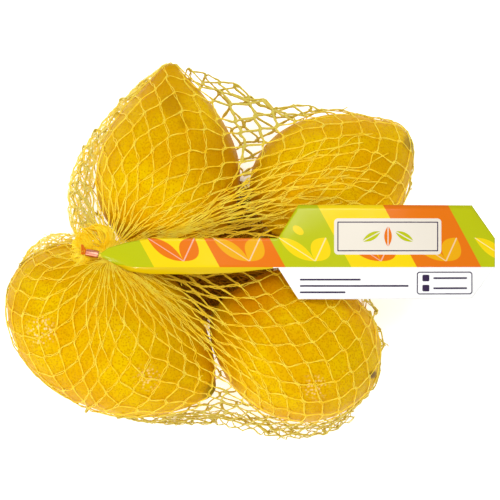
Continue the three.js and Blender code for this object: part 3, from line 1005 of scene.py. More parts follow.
@dataclass
class DrapedSheet:
    """The net as a stretched sheet over and under the lemons, as rings of points.

    The spans are loose stretches of the net's edge that stand clear of the lemons.
    """

    columns: int
    upper_rows: int = 26
    lower_rows: int = 18
    passes: int = 500
    ring_pull: float = 0.12
    sag: float = 0.012
    over_skin: float = 0.6
    under_skin: float = 0.5
    floor: float = 0.4
    span_steps: int = 6
    rays: int = 12
    gather: Place = (-57.0, -1.4, 50.4)
    under_gather: Place = (-15.0, -3.0, 9.5)
    between_upper: tuple[Place, ...] = (
        (-33.0, 77.4, 29), (-27.0, 75.2, 28), (-20.6, 73.6, 27), (-7.6, 68.6, 25), (6.8, 62.4, 24),
        (16.3, 60.0, 24), (37.0, 58.7, 24), (51.8, 53.9, 25), (60.0, 48.8, 26), (66.5, 45.7, 27))
    beside_first: tuple[Place, ...] = (
        (-30.6, 77.4, 29), (-45.0, 69.7, 23), (-58.0, 59.1, 16), (-67.0, 47.8, 12),
        (-74.6, 34.9, 11), (-75.4, 19.9, 14), (-73.6, 13.1, 17), (-71.6, 4.8, 22))
    below_lower: tuple[Place, ...] = (
        (-66.7, -65.8, 20), (-58.1, -69.6, 12), (-46.6, -72.1, 8), (-32.3, -73.1, 6),
        (-5.3, -74.2, 4), (12.9, -79.5, 4), (20.6, -80.1, 4), (33.7, -76.9, 4), (43.0, -72.2, 5),
        (48.7, -63.9, 8), (53.7, -53.5, 12), (56.0, -43.3, 15), (54.3, -31.4, 18), (50.2, -19.2, 24))
    between_right: tuple[Place, ...] = (
        (52.5, -26, 27), (50.4, -12, 28), (51.5, 2, 28), (60.5, 15, 27), (66.5, 26, 27))

    def edge(self) -> Array:
        """The sheet's edge, evenly spaced anticlockwise from the gather's right."""
        lines = [lemon.silhouette(self.over_skin) for lemon in LEMONS]
        for span in (self.between_upper, self.beside_first, self.below_lower, self.between_right):
            lines.append(catmull_rom(np.array([span], dtype=float), self.span_steps)[0])
        start = np.vstack([line[:-1] for line in lines])
        end = np.vstack([line[1:] for line in lines])
        angle = np.linspace(0, math.tau, self.columns * self.rays, endpoint=False)[:, None]
        ux, uy = np.cos(angle), np.sin(angle)
        px, py = (start[:, k] - self.gather[k] for k in (0, 1))
        ex, ey = (end[:, k] - start[:, k] for k in (0, 1))
        cross = ux * ey - uy * ex
        cross = np.where(np.abs(cross) < 1e-9, 1e-9, cross)
        share = (uy * px - ux * py) / cross
        reach = (px + share * ex) * ux + (py + share * ey) * uy
        reach = np.where(np.abs(share - 0.5) > 0.5 + 1e-6, -1, reach)
        best = np.argmax(reach, axis=1)
        row = np.arange(len(best))
        height = start[best, 2] + share[row, best] * (end[best, 2] - start[best, 2])
        far = reach[row, best]
        raw = np.column_stack([self.gather[0] + ux[:, 0] * far, self.gather[1] + uy[:, 0] * far, height])
        closed = np.vstack([raw, raw[:1]])
        run = np.concatenate([[0], np.cumsum(np.linalg.norm(np.diff(closed, axis=0), axis=1))])
        marks = np.linspace(0, run[-1], self.columns, endpoint=False)
        return np.column_stack([np.interp(marks, run, closed[:, k]) for k in range(3)])

    def rings(self, centre: Place, edge: Array, count: int, upper: bool) -> Array:
        """Rings from a gather to the edge, settled on the lemons.

        Args:
            centre: The gather.
            edge: The sheet's edge.
            count: How many rings.
            upper: True for the side over the lemons, False for the side under them.

        Returns:
            Points shaped (rings, columns, 3).
        """
        share = np.sin(0.5 * math.pi * np.arange(count + 1) / count)[:, None, None]
        points = centre + (edge - centre) * share
        flat = points[1:-1].reshape(-1, 3)
        limits = self.lemon_limits(flat, upper).reshape(count - 1, self.columns)
        plan = points[..., :2]

        def stiffness(shifted: Array, pull: float) -> Array:
            """Pull of one neighbour on each point, less the farther it lies."""
            return pull / (np.linalg.norm(shifted - plan[1:-1], axis=2) + 0.5)

        weights = (
            stiffness(np.roll(plan, 1, axis=1)[1:-1], self.ring_pull),
            stiffness(np.roll(plan, -1, axis=1)[1:-1], self.ring_pull),
            stiffness(plan[:-2], 1.0), stiffness(plan[2:], 1.0))
        total = sum(weights)
        gaps = np.linalg.norm(np.diff(plan, axis=0), axis=2)
        drop = 0.5 * self.sag * gaps[:-1] * gaps[1:] if upper else 0.0
        z = points[..., 2]
        for _ in range(self.passes):
            pulled = (
                weights[0] * np.roll(z, 1, axis=1)[1:-1] + weights[1] * np.roll(z, -1, axis=1)[1:-1]
                + weights[2] * z[:-2] + weights[3] * z[2:]) / total - drop
            z[1:-1] = np.maximum(pulled, limits) if upper else np.minimum(pulled, limits)
            z[1:-1] = np.maximum(z[1:-1], self.floor)
        return points

    def lemon_limits(self, points: Array, upper: bool) -> Array:
        """Height of the lemons' upper or lower skin at plan points."""
        limit = np.full(len(points), -np.inf if upper else np.inf)
        for lemon in LEMONS:
            local = lemon.to_local(points)
            inside = (local[:, 0] > -lemon.stem) & (local[:, 0] < lemon.tip)
            square = lemon.radius_at(local[:, 0]) ** 2 - local[:, 1] ** 2
            half = np.sqrt(np.clip(square, 0, None))
            here = lemon.height + half + self.over_skin if upper else lemon.height - half - self.under_skin
            here = np.where(inside & (square > 0), here, limit)
            limit = np.maximum(limit, here) if upper else np.minimum(limit, here)
        return limit

    def columns_of_points(self) -> tuple[Array, int]:
        """Settle the whole sheet.

        Returns:
            Rings from the upper gather to the lower one, shaped (rings, columns, 3), and
            the index of the ring that is the edge.
        """
        edge = self.edge()
        upper = self.rings(self.gather, edge, self.upper_rows, True)
        lower = self.rings(self.under_gather, edge, self.lower_rows, False)
        return np.concatenate([upper, lower[-2::-1]]), self.upper_rows


# ---- knitted net ----


def unit(vectors: Array) -> Array:
    """Scale vectors to length 1."""
    return vectors / np.maximum(np.linalg.norm(vectors, axis=-1, keepdims=True), 1e-6)


def run_along(lines: Array) -> Array:
    """Distance along each line at its points, for lines shaped (lines, points, 3)."""
    steps = np.linalg.norm(np.diff(lines, axis=1), axis=2)
    return np.concatenate([np.zeros((len(lines), 1)), np.cumsum(steps, axis=1)], axis=1)


def curled_end(knot: Array, lean: Array | float, longest: float, random: Random) -> Array:
    """A short curled end that stands off a knot.

    Args:
        knot: Place of the knot.
        lean: What the end's random direction is drawn towards.
        longest: Its greatest length in millimetres.
        random: Source of its direction, length and curl.

    Returns:
        The end's points.
    """
    way = unit(random.normal(0, 1, 3) + lean) * random.uniform(1.0, longest)
    curl = random.normal(0, 0.3, (4, 3))
    shares = np.array([0, 0.35, 0.7, 1.0])[:, None]
    return knot + way * shares + curl * shares


@dataclass(frozen=True)
class Bunch:
    """A fold where the net's wales crowd together on their way from the clip.

    `goal` is the plan place on the hem that the fold heads for, `width` how many wales lie on
    each side of it, `pull` how closely they crowd (0 to 1) and `fade` how soon they part.
    """

    goal: Pair
    width: float
    pull: float
    fade: float


@dataclass(frozen=True)
class ClipNeck:
    """How the wales pass through a clip, from their cut ends to the gather's mouth.

    `heading` is the plan angle of the clip's axis and `rise` the height of the mouth over the
    bundle. `stops` are the bundle's tail, nose and mouth along that axis. The tuft's measures
    are its reach, then the middle and the spread of its lean sideways and upwards.
    """

    centre: Place
    heading: float
    rise: float
    bundle: Pair = (0.85, 0.55)
    sink: float = 0.35
    stops: Place = (2.9, 2.6, 4.0)
    mouth_swell: float = 1.2
    mouth_rise: float = 0.35
    ring_rise: float = 1.5
    ring_place: float = 3.6
    ring: Pair = (4.2, 2.4)
    tuft_reach: Pair = (0.4, 4.6)
    tuft_side: Pair = (0.6, 2.6)
    tuft_lift: Pair = (-1.9, 1.5)
    tuft_bend: float = 0.45
    tuft_curl: float = 1.2

    def controls(self, first_row: Array, random: Random) -> Array:
        """Control points from the cut end through the clip to the gather.

        Args:
            first_row: For each wale, its knot next to the gather.
            random: Source of the tuft's spread.

        Returns:
            Points shaped (wales, 7, 3), starting at the cut end.
        """
        wales = len(first_row)
        spin = random.uniform(0, math.tau, wales)
        fill = np.sqrt(random.uniform(0, 1, wales))
        wide, high = self.bundle
        spread = np.column_stack([np.zeros(wales), wide * fill * np.cos(spin), high * fill * np.sin(spin)])
        axis = self.centre + np.array([0, 0, -self.sink])
        ahead = np.array([math.cos(math.radians(self.heading)), math.sin(math.radians(self.heading)), 0])
        back = -random.uniform(*self.tuft_reach, wales)
        lean = [random.normal(*measure, wales) for measure in (self.tuft_side, self.tuft_lift)]
        flare = np.column_stack([back, *lean])
        curl = random.uniform(0, self.tuft_curl, wales)
        bend = flare * self.tuft_bend + np.column_stack([np.zeros((wales, 2)), curl])
        tail, nose, mouth = self.stops
        left = axis + spread - tail * ahead
        towards = first_row - axis
        turn = np.arctan2(towards[:, 1], towards[:, 0])
        out = self.ring_place + self.ring[0] * np.cos(turn)
        level = np.full(wales, self.rise * self.ring_rise)
        ring = axis + np.column_stack([out, self.ring[1] * np.sin(turn), level])
        lips = axis + spread * self.mouth_swell + mouth * ahead
        lips = lips + np.array([0, 0, self.rise * self.mouth_rise])
        inside = axis + spread
        return np.stack(
            [left + flare, left + bend, left, inside, inside + nose * ahead, lips, ring], axis=1)


@dataclass
class KnittedNet:
    """Tube net of doubled plastic filaments, knitted into diamonds and draped on the lemons.

    Wales run from the upper clip to the lower one. Each joins its neighbours in turn, at
    knots that lie in staggered rows.
    """

    knots: int = 46
    rows: int = 42
    link: float = 8.2
    least_rise: float = 0.55
    link_spread: float = 0.08
    passes: int = 420
    clearance: float = 0.55
    wale_sink: float = 0.1
    floor: float = 0.35
    filament: float = 0.128
    slack_filament: float = 0.265
    slack_start: float = 1.0
    slack_fade: float = 4.0
    gather_reach: float = 22
    gather_calm: float = 0.4
    # Where the strands' painted shade changes from the hollow's tone to the table's.
    hollow: Four = (-18.0, -5.0, 28.0, 42.0)
    taut_span: Place = (2.0, 48.0, 26.0)
    taut_swell: float = 1.2
    pair_gap: float = 0.42
    step: float = 0.85
    crossing: float = 11.0
    knot_length: float = 1.0
    knot_gap: float = 0.34
    knot_spread: Pair = (0.7, 1.3)
    end_rows: int = 4
    samples: int = 3
    pieces: int = 6
    seed: int = SEED
    hem_reach: float = 0.9
    jitter: float = 0.35
    hem_hold: float = 0.5
    hold: float = 0.012
    haste: float = 1.7
    evenness: float = 0.012
    swing: Place = (0.12, 0.2, 0.9)
    middle: Place = (-12.0, -2.0, 24.0)
    wander: float = 0.22
    crossing_haste: float = 2.5
    pair_loose: float = 0.62
    pair_waves: tuple[tuple[float, float, int], ...] = ((0.38, 0.55, 3), (0.25, 1.7, 5))
    pair_limits: Pair = (0.4, 1.4)
    pair_lift: float = 1.1
    loop: tuple[Pair, ...] = ((-0.7, -0.2), (-0.35, 0.36), (0.35, 0.36), (0.7, -0.2))
    loop_places: Pair = (-0.5, 0.45)
    loop_lean: float = 0.5
    loop_sizes: Pair = (0.8, 1.15)
    loop_thickness: float = 0.8
    loose_ends: float = 0.16
    loose_length: float = 2.6
    loose_lift: float = 0.3
    necks: tuple[ClipNeck, ClipNeck] = (
        ClipNeck(CLIP_CENTRE, CLIP_HEADING, -1.2), ClipNeck(UNDER_CLIP_CENTRE, 0.0, 3.5))
    clump_sizes: tuple[int, int] = (3, 7)
    clump_pull: float = 0.8
    clump_fade: float = 3.0
    bunches: tuple[Bunch, ...] = (
        Bunch((29.5, -77.4), 7.5, 0.9, 0.75),
        Bunch((64.0, 24.0), 9.0, 0.9, 1.1),
        Bunch((-73.0, 38.0), 5.0, 0.6, 0.7),
    )

    def build(self, material: Material) -> None:
        """Drape the net and link its pieces."""
        random = np.random.default_rng(self.seed)
        lattice = self.drape(random)
        wales = catmull_rom(self.wale_controls(lattice, random), self.samples)
        near = self.clearance - self.wale_sink
        wales = keep_clear(wales.reshape(-1, 3), near, self.floor).reshape(wales.shape)
        fibres = self.filaments(wales, random)
        share = math.ceil(len(fibres) / self.pieces)
        for part in range(self.pieces):
            batch = fibres[part * share:(part + 1) * share]
            self.add_strands(f"net_strands_{part + 1}", batch, 1.0, material)
        stitches = self.stitches(lattice, random)
        middle = len(stitches) // 2
        for number, batch in enumerate((stitches[:middle], stitches[middle:]), start=1):
            self.add_strands(f"net_stitches_{number}", batch, self.loop_thickness, material)

    def add_strands(self, name: str, lines: Sequence[Array], share: float, material: Material) -> None:
        """Make one piece of the net from its lines and link it.

        Args:
            name: Name of the piece.
            lines: The filaments, in millimetres.
            share: Thickness against the wales' filaments.
            material: Strand material.
        """
        radii = [share * self.thickness(line) for line in lines]
        mesh = strand_mesh(name, lines, radii)
        places = vertex_array(mesh) / MM - row_shift()
        loose = self.slackness(places)
        outer = loose * self.beyond_hollow(places)
        # The attribute "open" steers the strands' painted shade over the table and over the hollow.
        paint_vertices(mesh, "open", outer, loose - outer, loose)
        add_piece(mesh, Slot.STRANDS, "net", material)

    def thickness(self, line: Array) -> Array:
        """Radius of a filament: fluffed up in open spans, most in the taut one that is doubled."""
        x, y, reach = self.taut_span
        near = np.exp(-(np.hypot(line[:, 0] - x, line[:, 1] - y) / reach) ** 4)
        loose = self.slackness(line) * (1 + self.taut_swell * near)
        return self.filament + (self.slack_filament - self.filament) * loose

    def slackness(self, line: Array) -> Array:
        """How loose, and so how fluffed up, the yarn is: 1 in open spans, 0 on a lemon."""
        gap = np.min([lemon.beside(line) for lemon in LEMONS], axis=0)
        from_gather = np.linalg.norm(line - CLIP_CENTRE, axis=1)
        beyond = np.clip(from_gather / self.gather_reach - self.gather_calm, 0, 1)
        return np.clip((gap + self.slack_start) / self.slack_fade, 0, 1) * beyond

    def beyond_hollow(self, line: Array) -> Array:
        """How far outside the hollow between the lemons points lie: 0 in it, 1 outside."""
        x, y, inner, outer = self.hollow
        return np.clip((np.hypot(line[:, 0] - x, line[:, 1] - y) - inner) / (outer - inner), 0, 1)

    def drape(self, random: Random) -> Array:
        """Lay the knots on the sheet and let them slide to rest.

        Args:
            random: Source of the net's unevenness.

        Returns:
            Knot places, shaped (rows + 1, knots, 3).
        """
        sheet = DrapedSheet(columns=2 * self.knots)
        rings, edge_ring = sheet.columns_of_points()
        paths = self.crowded_paths(rings, edge_ring)
        length, marks, edge_marks = self.row_marks(paths, edge_ring)
        rows = np.arange(self.rows + 1)
        knots = np.empty((self.rows + 1, self.knots, 3))
        hem = np.zeros((self.rows + 1, self.knots), dtype=bool)
        for index in range(self.knots):
            for odd in (0, 1):
                column = 2 * index + odd
                own = rows[odd::2]
                wale, run = paths[:, column], length[:, column]
                for k in range(3):
                    knots[own, index, k] = np.interp(marks[own, column], run, wale[:, k])
                hem[own, index] = np.abs(own - edge_marks[column]) <= self.hem_reach
        return self.relax(knots, hem, random)

    def crowded_paths(self, rings: Array, edge_ring: int) -> Array:
        """Bend the sheet's columns towards the bunches on their way to the clip.

        Args:
            rings: The sheet's points, shaped (rings, columns, 3).
            edge_ring: Index of the ring that is the sheet's edge.

        Returns:
            Paths of the wales, shaped like the rings.
        """
        count = rings.shape[1]
        columns = np.arange(count)
        share = np.clip(1 - np.arange(len(rings)) / edge_ring, 0, 1)
        place = np.repeat(columns[None, :].astype(float), len(rings), axis=0)
        for bunch in self.bunches:
            centre = np.argmin(np.linalg.norm(rings[edge_ring][:, :2] - np.array(bunch.goal), axis=1))
            gap = (centre - columns + self.knots) % count - self.knots
            shift = bunch.pull * gap * np.exp(-0.5 * (gap / bunch.width) ** 2)
            place += (share**bunch.fade)[:, None] * shift
        place += (share**self.clump_fade)[:, None] * self.clump_shift(count)
        place %= count
        low = np.floor(place).astype(int)
        part = (place - low)[..., None]
        ring = np.arange(len(rings))[:, None]
        return rings[ring, low % count] * (1 - part) + rings[ring, (low + 1) % count] * part

    def clump_shift(self, count: int) -> Array:
        """How far each column moves towards the middle of its clump of wales."""
        random = np.random.default_rng(self.seed + 3)
        widths = random.integers(*self.clump_sizes, count)
        starts = np.concatenate([[0], np.cumsum(widths)])
        starts = starts[starts < count]
        ends = np.append(starts[1:], count)
        columns = np.arange(count)
        clump = np.searchsorted(starts, columns, side="right") - 1
        return self.clump_pull * (0.5 * (starts + ends - 1)[clump] - columns)

    def row_marks(self, paths: Array, edge_ring: int) -> tuple[Array, Array, Array]:
        """Place the rows along every wale.

        Over the lemons all links come out equally long. What is left of the rows lies under
        them, where a short wale is slack towards the lower gather.

        Args:
            paths: Paths of the wales, shaped (rings, columns, 3).
            edge_ring: Index of the ring that is the sheet's edge.

        Returns:
            Length along each path at its rings, the length at each row, and the fractional
            row at which each path crosses the edge.
        """
        steps = np.linalg.norm(np.diff(paths, axis=0), axis=2)
        width = np.linalg.norm(np.roll(paths, -1, axis=1) - np.roll(paths, 1, axis=1), axis=2)
        half = 0.25 * (width[1:] + width[:-1])
        rise = np.sqrt(np.maximum(self.link**2 - half**2, (self.least_rise * self.link) ** 2))
        start = np.zeros((1, paths.shape[1]))
        length = np.concatenate([start, np.cumsum(steps, axis=0)])
        row = np.concatenate([start, np.cumsum(steps / rise, axis=0)])
        edge_row = row[edge_ring]
        rest = (self.rows - edge_row) / (row[-1] - edge_row)
        part = (row - edge_row) / (row[-1] - edge_row)
        spare = (self.rows - edge_row) * np.maximum(1 - 1 / rest, 0) * part**3
        under = edge_row + (row - edge_row) * np.minimum(rest, 1) + spare
        row = np.where(np.arange(len(row))[:, None] > edge_ring, under, row)
        rows = np.arange(self.rows + 1)
        marks = np.column_stack([np.interp(rows, row[:, k], length[:, k]) for k in range(paths.shape[1])])
        return length, marks, edge_row

    def link_pairs(self) -> tuple[Array, Array]:
        """Flat indices of the two knots of every link."""
        first, second = [], []
        for row in range(self.rows):
            for index in range(self.knots):
                other = (index - 1, index) if row % 2 == 0 else (index, index + 1)
                for neighbour in other:
                    first.append(row * self.knots + index)
                    second.append((row + 1) * self.knots + neighbour % self.knots)
        return np.array(first), np.array(second)

    def relax(self, knots: Array, hem: Array, random: Random) -> Array:
        """Shorten long links, with the knots kept off the lemons and the hem at the edge.

        Args:
            knots: First places of the knots.
            hem: Which knots lie at the sheet's edge.
            random: Source of the net's unevenness.

        Returns:
            The knots at rest.
        """
        first, second = self.link_pairs()
        longest = self.link * (1 + random.normal(0, self.link_spread, len(first)))
        start = knots.reshape(-1, 3).copy()
        points = start + random.normal(0, self.jitter, start.shape)
        count = len(points)
        touching = np.bincount(first, minlength=count) + np.bincount(second, minlength=count)
        ends = np.zeros(count, dtype=bool)
        ends[:self.knots] = True
        ends[-self.knots:] = True
        points[ends] = start[ends]
        held = np.where(hem.ravel(), self.hem_hold, self.hold)[:, None]
        for _ in range(self.passes):
            gap = points[second] - points[first]
            length = np.maximum(np.linalg.norm(gap, axis=1), 1e-6)
            move = gap * (0.5 * np.maximum(length - longest, 0) / length)[:, None]
            total = np.column_stack([
                np.bincount(first, part, count) - np.bincount(second, part, count) for part in move.T])
            points = points + self.haste * total / touching[:, None]
            grid = points.reshape(self.rows + 1, self.knots, 3)
            beside = 0.5 * (np.roll(grid, 1, axis=1) + np.roll(grid, -1, axis=1))
            points = (grid + self.evenness * (beside - grid)).reshape(-1, 3)
            points += held * (start - points)
            points = keep_clear(points, self.clearance, self.floor)
            points[ends] = start[ends]
        LOG.info("links %.1f mm on average, %.1f at most", length.mean(), length.max())
        return points.reshape(self.rows + 1, self.knots, 3)

    def knot_frames(self, lattice: Array) -> tuple[Array, Array, Array]:
        """Directions along the wales, across them and outwards at each knot."""
        even = (np.arange(self.rows + 1) % 2 == 0)[:, None, None]
        left = np.where(even, np.roll(lattice, 1, axis=1), lattice)
        right = np.where(even, lattice, np.roll(lattice, -1, axis=1))
        middle = 0.5 * (left + right)
        along = unit(np.concatenate([middle[1:], lattice[-1:]]) - np.concatenate([lattice[:1], middle[:-1]]))
        across = np.roll(lattice, -1, axis=1) - np.roll(lattice, 1, axis=1)
        across = unit(across - (across * along).sum(axis=2, keepdims=True) * along)
        return along, across, np.cross(across, along)

    def wale_controls(self, lattice: Array, random: Random) -> Array:
        """Control points of every wale, from its cut end over the clip to the other cut end."""
        along, across, _ = self.knot_frames(lattice)
        number = np.arange(2 * self.knots)
        lines = []
        for row in range(1, self.rows):
            index = (number // 2 if row % 2 == 0 else (number - 1) // 2) % self.knots
            side = np.where((number + row) % 2 == 0, -1.0, 1.0)[:, None]
            reach = self.knot_length * min(1.0, row / self.end_rows, (self.rows - row) / self.end_rows)
            reach = reach * random.uniform(*self.knot_spread, self.knots)[index][:, None]
            offset = across[row, index] * side * self.knot_gap
            lines.append(lattice[row, index] - along[row, index] * reach + offset)
            lines.append(lattice[row, index] + along[row, index] * reach + offset)
        controls = self.add_slack(np.stack(lines, axis=1), random)
        own = (number // 2) % self.knots
        upper, under = (
            neck.controls(lattice[row, own], random) for neck, row in zip(self.necks, (1, -2)))
        return np.concatenate([upper, controls, under[:, ::-1]], axis=1)

    def add_slack(self, controls: Array, random: Random) -> Array:
        """Put a sagging middle point into every link that is shorter than its yarn."""
        start, end = controls[:, 1:-1:2], controls[:, 2::2]
        gap = end - start
        length = np.linalg.norm(gap, axis=2, keepdims=True)
        spare = np.clip(self.link - 2 * self.knot_length - length, 0, None)
        swing = random.normal(0, 1, gap.shape)
        swing -= (swing * gap).sum(axis=2, keepdims=True) * gap / np.maximum(length, 1e-6) ** 2
        least, growth, most = self.swing
        middle = 0.5 * (start + end) + swing * np.minimum(most, least + growth * spare)
        merged = np.empty((controls.shape[0], controls.shape[1] + middle.shape[1], 3))
        merged[:, 0::3] = controls[:, 0::2]
        merged[:, 1::3] = controls[:, 1::2]
        merged[:, 2::3] = middle
        return merged

    def filaments(self, wales: Array, random: Random) -> list[Array]:
        """Two filaments for each wale, side by side with a crossing now and then."""
        tangent = unit(np.gradient(wales, axis=1))
        outward = wales - np.array(self.middle)
        outward = unit(outward - (outward * tangent).sum(axis=2, keepdims=True) * tangent)
        beside = np.cross(tangent, outward)
        run = run_along(wales)
        phase = random.uniform(0, math.tau, (len(wales), 1))
        wander = np.cumsum(random.normal(0, self.wander, run.shape), axis=1)
        swing = np.cos(math.tau * run / self.crossing + phase + wander)
        side = np.tanh(self.crossing_haste * swing)
        loose = self.pair_loose
        for amount, pace, shift in self.pair_waves:
            loose = loose + amount * np.sin(run * pace + shift * phase)
        width = self.pair_gap * np.clip(loose, *self.pair_limits)
        lift = self.pair_lift * self.filament * np.sqrt(np.clip(1 - side**2, 0, 1))
        offset = beside * (width * side)[..., None] + outward * lift[..., None]
        lines = []
        for number, marks in enumerate(run):
            kept = np.diff(np.floor(marks / self.step), prepend=-1) > 0
            kept[-1] = True
            lines += [(wales[number] + way * offset[number])[kept] for way in (1, -1)]
        return lines

    def stitches(self, lattice: Array, random: Random) -> list[Array]:
        """Short loops that bind the wales at each knot, and some loose ends."""
        along, across, outward = self.knot_frames(lattice)
        loops = []
        for row in range(2, self.rows - 1):
            for index in range(self.knots):
                knot = lattice[row, index]
                ahead, side, up = along[row, index], across[row, index], outward[row, index]
                for place in self.loop_places:
                    lean = random.normal(0, self.loop_lean)
                    size = random.uniform(*self.loop_sizes)
                    centre = knot + ahead * place * self.knot_length
                    loops.append(np.array([
                        centre + side * w * size + up * h * size + ahead * lean * w for w, h in self.loop]))
                if random.uniform() < self.loose_ends:
                    loops.append(curled_end(knot, up * self.loose_lift, self.loose_length, random))
        return loops


class StrandTone(Enum):
    """Where strands lie, which sets the painted light or shade that their copy of the filament finish
    carries; the value names the material.
    """

    ON_LEMON = "net_strands"
    HEAPED = "net_heaped"
    SHADED = "net_shaded"
    FREE = "net_folds"
    ON_TABLE = "net_hem"


# Lit and shaded copies of one filament finish, painted light and shade: brighter with more glow in the heaps
# and the free folds, dark brown painted shade in the hollow under the pack, duller on the table.
STRAND_FINISHES = {
    StrandTone.ON_LEMON: StrandFinish(),
    StrandTone.HEAPED: StrandFinish(linear(255, 236, 60), linear(252, 216, 16), painted_glow=0.12),
    StrandTone.SHADED: StrandFinish(linear(206, 146, 10), linear(158, 98, 0), gloss=0.05, painted_glow=0.02),
    StrandTone.FREE: StrandFinish(linear(255, 246, 156), linear(255, 237, 96), glow=0.4, painted_glow=0.12),
    StrandTone.ON_TABLE: StrandFinish(linear(238, 222, 118), linear(224, 204, 88), painted_glow=0.04),
}


@dataclass(frozen=True)
class GatherBun:
    """Rounded heap of folded strands beside a clip, fanning out of its mouth.

    Strands run over the heap's round surface from the mouth to places round it, given by a
    range of plan turns and of dips below the level, in degrees.
    """

    name: str
    centre: Place
    size: Place
    mouth: Place
    turns: Pair
    dips: Pair
    depths: Pair
    strands: int
    samples: int
    radius: float
    seed: int
    tone: StrandTone = StrandTone.HEAPED
    thickness: Pair = (0.7, 1.2)
    mouth_spread: float = 0.12
    widest: float = 0.98
    ripple: float = 0.04
    ripple_turns: Pair = (6, 16)
    wobble: float = 0.02

    def build(self, material: Material) -> None:
        """Make the heap and link it."""
        random = np.random.default_rng(self.seed)
        lines = [keep_clear(self.strand(random), self.radius, self.radius) for _ in range(self.strands)]
        radii = random.uniform(*self.thickness, len(lines)) * self.radius
        add_piece(strand_mesh(self.name, lines, radii), Slot.STRANDS, "net", material)

    def strand(self, random: Random) -> Array:
        """One strand from the mouth over the heap's round surface."""
        turn = math.radians(random.uniform(*self.turns))
        dip = math.radians(random.uniform(*self.dips))
        start = unit(np.array(self.mouth) + random.normal(0, self.mouth_spread, 3))
        end = np.array([math.cos(turn) * math.cos(dip), math.sin(turn) * math.cos(dip), math.sin(dip)])
        angle = math.acos(float(np.clip(start @ end, -self.widest, self.widest)))
        share = np.linspace(0, 1, self.samples)[:, None]
        way = (np.sin((1 - share) * angle) * start + np.sin(share * angle) * end) / math.sin(angle)
        swell = 1 + self.ripple * np.sin(share * random.uniform(*self.ripple_turns) + random.uniform(0, 6))
        wobble = np.cumsum(random.normal(0, self.wobble, way.shape), axis=0)
        reach = (way + wobble) * random.uniform(*self.depths) * swell * np.array(self.size)
        return np.array(self.centre) + reach


HEAPS = (
    GatherBun(
        "net_gather", centre=(-62.4, 4.2, 48.4), size=(7.6, 6.4, 5.8), mouth=(0.55, -0.72, 0.42),
        turns=(5, 262), dips=(-50, -15), depths=(0.7, 1.03), strands=400, samples=11, radius=0.14,
        seed=SEED + 7),
    GatherBun(
        "net_tuft", centre=(-67.6, -0.6, 50.8), size=(4.2, 6.8, 3.6), mouth=(0.8, 0.0, 0.4),
        turns=(60, 300), dips=(-55, 50), depths=(0.5, 1.08), strands=300, samples=8, radius=0.13,
        seed=SEED + 9),
    # The heap under the pack takes the dark painted-shade finish, which fills the hollow between the lemons
    # with shade.
    GatherBun(
        "net_gather_under", centre=(-12.5, 0.5, 12.0), size=(27.0, 30.0, 4.6), mouth=(-0.3, -0.1, 0.4),
        turns=(0, 360), dips=(-30, 10), depths=(0.2, 1.03), strands=680, samples=12, radius=0.34,
        seed=SEED + 8, tone=StrandTone.SHADED),
)


@dataclass(frozen=True)
class NetFold:
    """A fold of slack net: layers of knitted yarn that run along a path.

    Each stop of the path holds x, y, z and half the fold's width, in millimetres. `ragged` is
    by how many knots a yarn may end early.
    """

    name: str
    path: tuple[Four, ...]
    wales: int
    layers: int
    thickness: float
    seed: int
    link: float = 5.5
    radius: float = 0.2
    shuffle: float = 0.5
    ragged: int = 0
    loose_ends: float = 0.06
    loose_length: float = 2.8
    tone: StrandTone = StrandTone.FREE
    path_steps: int = 8
    yarn_steps: int = 3
    least_rows: int = 4
    bulge: float = 1.05
    unevenness: float = 0.35
    slide: float = 0.16
    twin_gap: float = 0.3
    twin_wander: float = 0.16
    clearance: float = 0.5

    def build(self, material: Material) -> None:
        """Make the fold and link it."""
        random = np.random.default_rng(self.seed)
        lines = []
        for _ in range(self.layers):
            lines += self.layer(random)
        radii = random.uniform(0.75, 1.2, len(lines)) * self.radius
        add_piece(strand_mesh(self.name, lines, radii), Slot.STRANDS, "net", material)

    def layer(self, random: Random) -> list[Array]:
        """One layer's yarns, each joining its neighbours in turn."""
        stops = catmull_rom(np.array(self.path, dtype=float)[None], self.path_steps)[0]
        run = run_along(stops[None, :, :3])[0]
        rows = max(self.least_rows, round(run[-1] / (0.5 * self.link)))
        offset = random.uniform(-0.5, 0.5)
        marks = (np.arange(rows + 1) + offset) / rows * run[-1]
        marks = np.clip(marks, 0, run[-1])
        middle = np.column_stack([np.interp(marks, run, stops[:, k]) for k in range(4)])
        ahead = unit(np.gradient(middle[:, :3], axis=0))
        beside = unit(np.cross(ahead, np.array([0.0, 0.0, 1.0])))
        upward = np.cross(beside, ahead)
        lines = []
        row = np.arange(rows + 1)
        shuffle = random.normal(0, self.shuffle / self.wales, (rows + 1, self.wales + 1))
        for number in range(self.wales):
            join = np.where((row + number) % 2 == 0, number, number + 1)
            across = -1 + 2 * (join - 0.5) / (self.wales - 1) + shuffle[row, join]
            across = np.clip(across, -self.bulge, self.bulge)
            rise = random.normal(0, self.unevenness, rows + 1) + random.uniform(-0.5, 0.5)
            rise = self.thickness * rise
            slide = random.normal(0, self.slide * self.link, rows + 1)
            line = (middle[:, :3] + beside * (across * middle[:, 3])[:, None] + upward * rise[:, None]
                    + ahead * slide[:, None])
            line = line[:rows + 1 - random.integers(0, self.ragged + 1)]
            smooth = catmull_rom(line[None], self.yarn_steps)[0]
            twin = smooth + random.normal(0, self.twin_wander, smooth.shape) + beside[0] * self.twin_gap
            lines += [smooth, twin]
            lines += [
                curled_end(knot, 0.0, self.loose_length, random)
                for knot in line if random.uniform() < self.loose_ends]
        return [keep_clear(yarn, self.clearance, self.radius) for yarn in lines]


